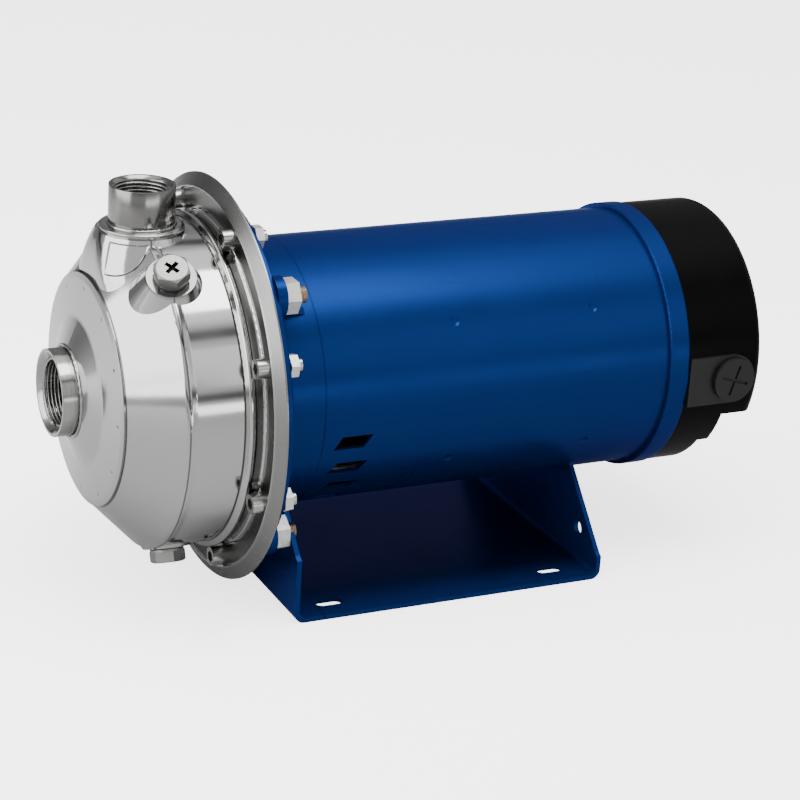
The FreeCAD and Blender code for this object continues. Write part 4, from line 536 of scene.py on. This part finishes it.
# Rotor and stator: stacks of thin steel sheets, cast aluminium end rings with fan blades,
# and windings of varnished copper wire.
SHEET_PITCH, WIRE_PITCH = 0.001, 0.0011
laminated, tree, shader = finish("stacked sheet steel", (0.2, 0.2, 0.21), Metallic=0.85, Roughness=0.42)
radius, angle, along = round_the_shaft(tree)
sheets = maths(tree, "SINE", both(tree, along, 2 * math.pi / SHEET_PITCH))
tinted(tree, shader, sheets, (0.12, 0.12, 0.125), (0.3, 0.3, 0.31))
lay_over(tree, shader, bump(tree, sheets, 0.00005))
cast_aluminium = moulded("cast aluminium", (0.55, 0.55, 0.56), (0.7, 0.7, 0.71), 0.4, 0.55,
                         grain=500.0, depth=0.0001, Metallic=1.0)
wire, tree, shader = finish("varnished copper wire", (0.45, 0.16, 0.05), Metallic=0.8, Roughness=0.3)
radius, angle, along = round_the_shaft(tree)
strands = maths(tree, "SINE", both(tree, radius, 2 * math.pi / WIRE_PITCH))
tinted(tree, shader, strands, (0.2, 0.05, 0.015), (0.55, 0.22, 0.08))
lay_over(tree, shader, bump(tree, strands, 0.0002))
dress(laminated, "rotor_core", "stator_core")
dress(cast_aluminium, "rotor_end_rings")
dress(wire, "stator_windings")

# Motor bracket, shell, end bell and base: cast, rolled and bent metal parts under one coat
# of glossy blue enamel, with a little orange peel. The shell has pressed dimples and a fine
# seam at its front edge. The base's floor is painted darker under the motor, as a painted shadow.
SHELL_R, SHELL_SEAM_X, SEAM_HALF = 0.0825, -0.0860, 0.0007
DIMPLE_R, DIMPLE_DEPTH = 0.0034, 0.0007
DIMPLES = [(along, turn) for along in (0.0025, 0.097) for turn in (56, 120, -56, -120)]
BASE_FLOOR_UP, BASE_BLUE_UP = 0.0034, 0.008
BASE_SHADOW_HALF, BASE_BLUE_HALF = 0.06, 0.093
DEEP_BLUE, BRIGHT_BLUE, SEAM_AND_SHADOW_BLUE = (0.0048, 0.021, 0.108), (0.0064, 0.027, 0.13), (0.0, 0.006, 0.03)
enamel, tree, shader = finish("blue enamel", DEEP_BLUE, Metallic=0.6, Specular_IOR_Level=0.15,
                              Specular_Tint=(0.02, 0.25, 1.0, 1.0))
place = place_on_pump(tree)
peel = node(tree, "TexNoise", Scale=330.0, Detail=1.0)
tree.links.new(place, peel.inputs["Vector"])
shades = node(tree, "TexNoise", Scale=22.0, Detail=3.0)
tree.links.new(place, shades.inputs["Vector"])
radius, angle, along = round_the_shaft(tree)
seam = both(tree, band(tree, along, SHELL_SEAM_X, SEAM_HALF),
            soft_step(tree, radius, SHELL_R - 0.001, SHELL_R - 0.0003))
across, up = parts_of(tree, place)[1:]
# Painted shadow: the paint on the base's floor is darker under the motor.
painted_shadow = both(tree, soft_step(tree, up, BASE_BLUE_UP, BASE_FLOOR_UP),
             soft_step(tree, maths(tree, "ABSOLUTE", across), BASE_BLUE_HALF, BASE_SHADOW_HALF))
paint = mixed(tree, either(tree, both(tree, seam, 0.8), painted_shadow), DEEP_BLUE, SEAM_AND_SHADOW_BLUE)
cloudy = both(tree, shades.outputs["Fac"], maths(tree, "SUBTRACT", 0.5, both(tree, painted_shadow, 0.5)))
tinted(tree, shader, cloudy, paint, BRIGHT_BLUE)
tree.links.new(placed(tree, HANDLING_MARKS, Size=14.0, Low=0.27, High=0.34), shader.inputs["Roughness"])
dents = []
for along, turn in DIMPLES:
    side, rise = SHELL_R * math.sin(math.radians(turn)), SHELL_R * math.cos(math.radians(turn))
    away = distance_from(tree, (along, -side, SHAFT_UP + rise))
    dents.append(soft_step(tree, away, DIMPLE_R, DIMPLE_R * 0.35))
dented = both(tree, either(tree, *dents), -1.0)
lay_over(tree, shader, bump(tree, peel.outputs["Fac"], 0.00005, 0.5), bump(tree, dented, DIMPLE_DEPTH))
dress(enamel, "motor_adapter", "motor_shell", "rear_end_bell", "base")

# Rear cover: moulded black plastic with a fine spark texture, screwed to the end bell.
# It covers the start capacitor, whose can is moulded too.
black_plastic = moulded("black moulding", (0.0006, 0.0006, 0.0007), (0.0014, 0.0014, 0.0015), 0.26, 0.36,
                        grain=1500.0, Specular_IOR_Level=0.04)
dress(black_plastic, "rear_cover", "start_capacitor")

# Conduit entry: a dark painted plate let into the cover's side, closed by a round plug.
# The plug screws in on a rubber gasket, and has a cross slot for a wide screwdriver.
dark_paint = moulded("dark grey paint", (0.005, 0.005, 0.005), (0.009, 0.009, 0.009), 0.34, 0.46,
                     Specular_IOR_Level=0.3)
dress(dark_paint, "conduit_plate", "conduit_plug")

# Studio: a pale floor, soft boxes and a camera at the height of someone standing at the bench.
# The steel mirrors what stands round it, so the room has dark gaps between its bright parts,
# and the floor is duller to the pump than to the camera.
bpy.ops.object.select_all(action="DESELECT")
bpy.ops.mesh.primitive_plane_add(size=6.0, location=(0.0, 0.0, 0.0))
floor = bpy.context.object
floor.name = "floor"
pale, tree, shader = finish("pale floor", (0.95, 0.95, 0.95), Roughness=0.9, Specular_IOR_Level=0.1,
                            Emission_Strength=2.5)
seen = node(tree, "LightPath").outputs["Is Camera Ray"]
behind = soft_step(tree, parts_of(tree, place_on_pump(tree))["Y"], 0.0, 0.35)
tinted(tree, shader, either(tree, seen, both(tree, behind, 0.55)), (0.44, 0.44, 0.44), (0.97, 0.97, 0.97))
tree.links.new(seen, shader.inputs["Emission Color"])
floor.data.materials.append(pale)

AIM = Vector((0.0026, 0.0, 0.0967))
AZIMUTH, ELEVATION, ROLL = (math.radians(value) for value in (-26.3, 21.0, 3.5))
DISTANCE, FOCAL_LENGTH, SENSOR = 1.645, 116.9, 36.0


def way_to(azimuth, elevation):
    """The direction from the pump at an azimuth from its photographed side and an elevation."""
    return Vector((math.cos(elevation) * math.sin(azimuth), -math.cos(elevation) * math.cos(azimuth),
                   math.sin(elevation)))


def soft_box(name, azimuth, elevation, distance, width, height, power):
    """A square light that faces the pump from a direction given in degrees."""
    away = way_to(math.radians(azimuth), math.radians(elevation))
    light = bpy.data.lights.new(name, "AREA")
    light.shape = "RECTANGLE"
    light.size, light.size_y, light.energy = width, height, power
    lamp = bpy.data.objects.new(name, light)
    lamp.location = AIM + away * distance
    lamp.visible_camera = False
    lamp.rotation_euler = away.to_track_quat("Z", "Y").to_euler()
    bpy.context.scene.collection.objects.link(lamp)


soft_box("top box", 10.0, 80.0, 1.5, 1.1, 0.8, 23.0)
soft_box("left box", -88.0, 23.0, 1.5, 1.5, 1.2, 26.0)
soft_box("right box", 28.0, 27.0, 2.2, 0.9, 1.0, 2.0)
soft_box("front card", 12.0, 0.3, 1.8, 1.6, 0.18, 3.5)

WALL_GREYS = ((0.06, 0.4), (0.09, 0.06), (0.13, 0.06), (0.19, 0.5), (0.66, 0.6), (0.70, 0.1), (0.74, 0.1))
FAR_WALL_DIM, ROOM_STRENGTH = 0.65, 1.8
world = bpy.data.worlds.new("studio")
bpy.context.scene.world = world
world.use_nodes = True
background = world.node_tree.nodes["Background"]
background.inputs["Strength"].default_value = ROOM_STRENGTH
tree = world.node_tree
directions = parts_of(tree, node(tree, "TexCoord").outputs["Generated"])
walls = node(tree, "ValToRGB")
tree.links.new(directions["Z"], walls.inputs[0])
first, last = walls.color_ramp.elements
first.position, first.color = 0.02, (0.5, 0.5, 0.5, 1.0)
last.position, last.color = 0.82, (1.0, 1.0, 1.0, 1.0)
for rise, grey in WALL_GREYS:
    walls.color_ramp.elements.new(rise).color = (grey, grey, grey, 1.0)
far = both(tree, soft_step(tree, directions["Y"], 0.4, 0.8), FAR_WALL_DIM)
far_wall = node(tree, "VectorMath", operation="SCALE")
tree.links.new(walls.outputs[0], far_wall.inputs[0])
tree.links.new(maths(tree, "SUBTRACT", 1.0, far), far_wall.inputs["Scale"])
tree.links.new(far_wall.outputs[0], background.inputs["Color"])

towards = way_to(AZIMUTH, ELEVATION)
level = Vector((math.cos(AZIMUTH), math.sin(AZIMUTH), 0.0))
right = level * math.cos(ROLL) + towards.cross(level) * math.sin(ROLL)
lens = bpy.data.cameras.new("camera")
lens.sensor_width, lens.lens = SENSOR, FOCAL_LENGTH
camera = bpy.data.objects.new("camera", lens)
turn = Matrix((right, towards.cross(right), towards)).transposed()
camera.matrix_world = Matrix.Translation(AIM + towards * DISTANCE) @ turn.to_4x4()
bpy.context.scene.collection.objects.link(camera)
bpy.context.scene.camera = camera
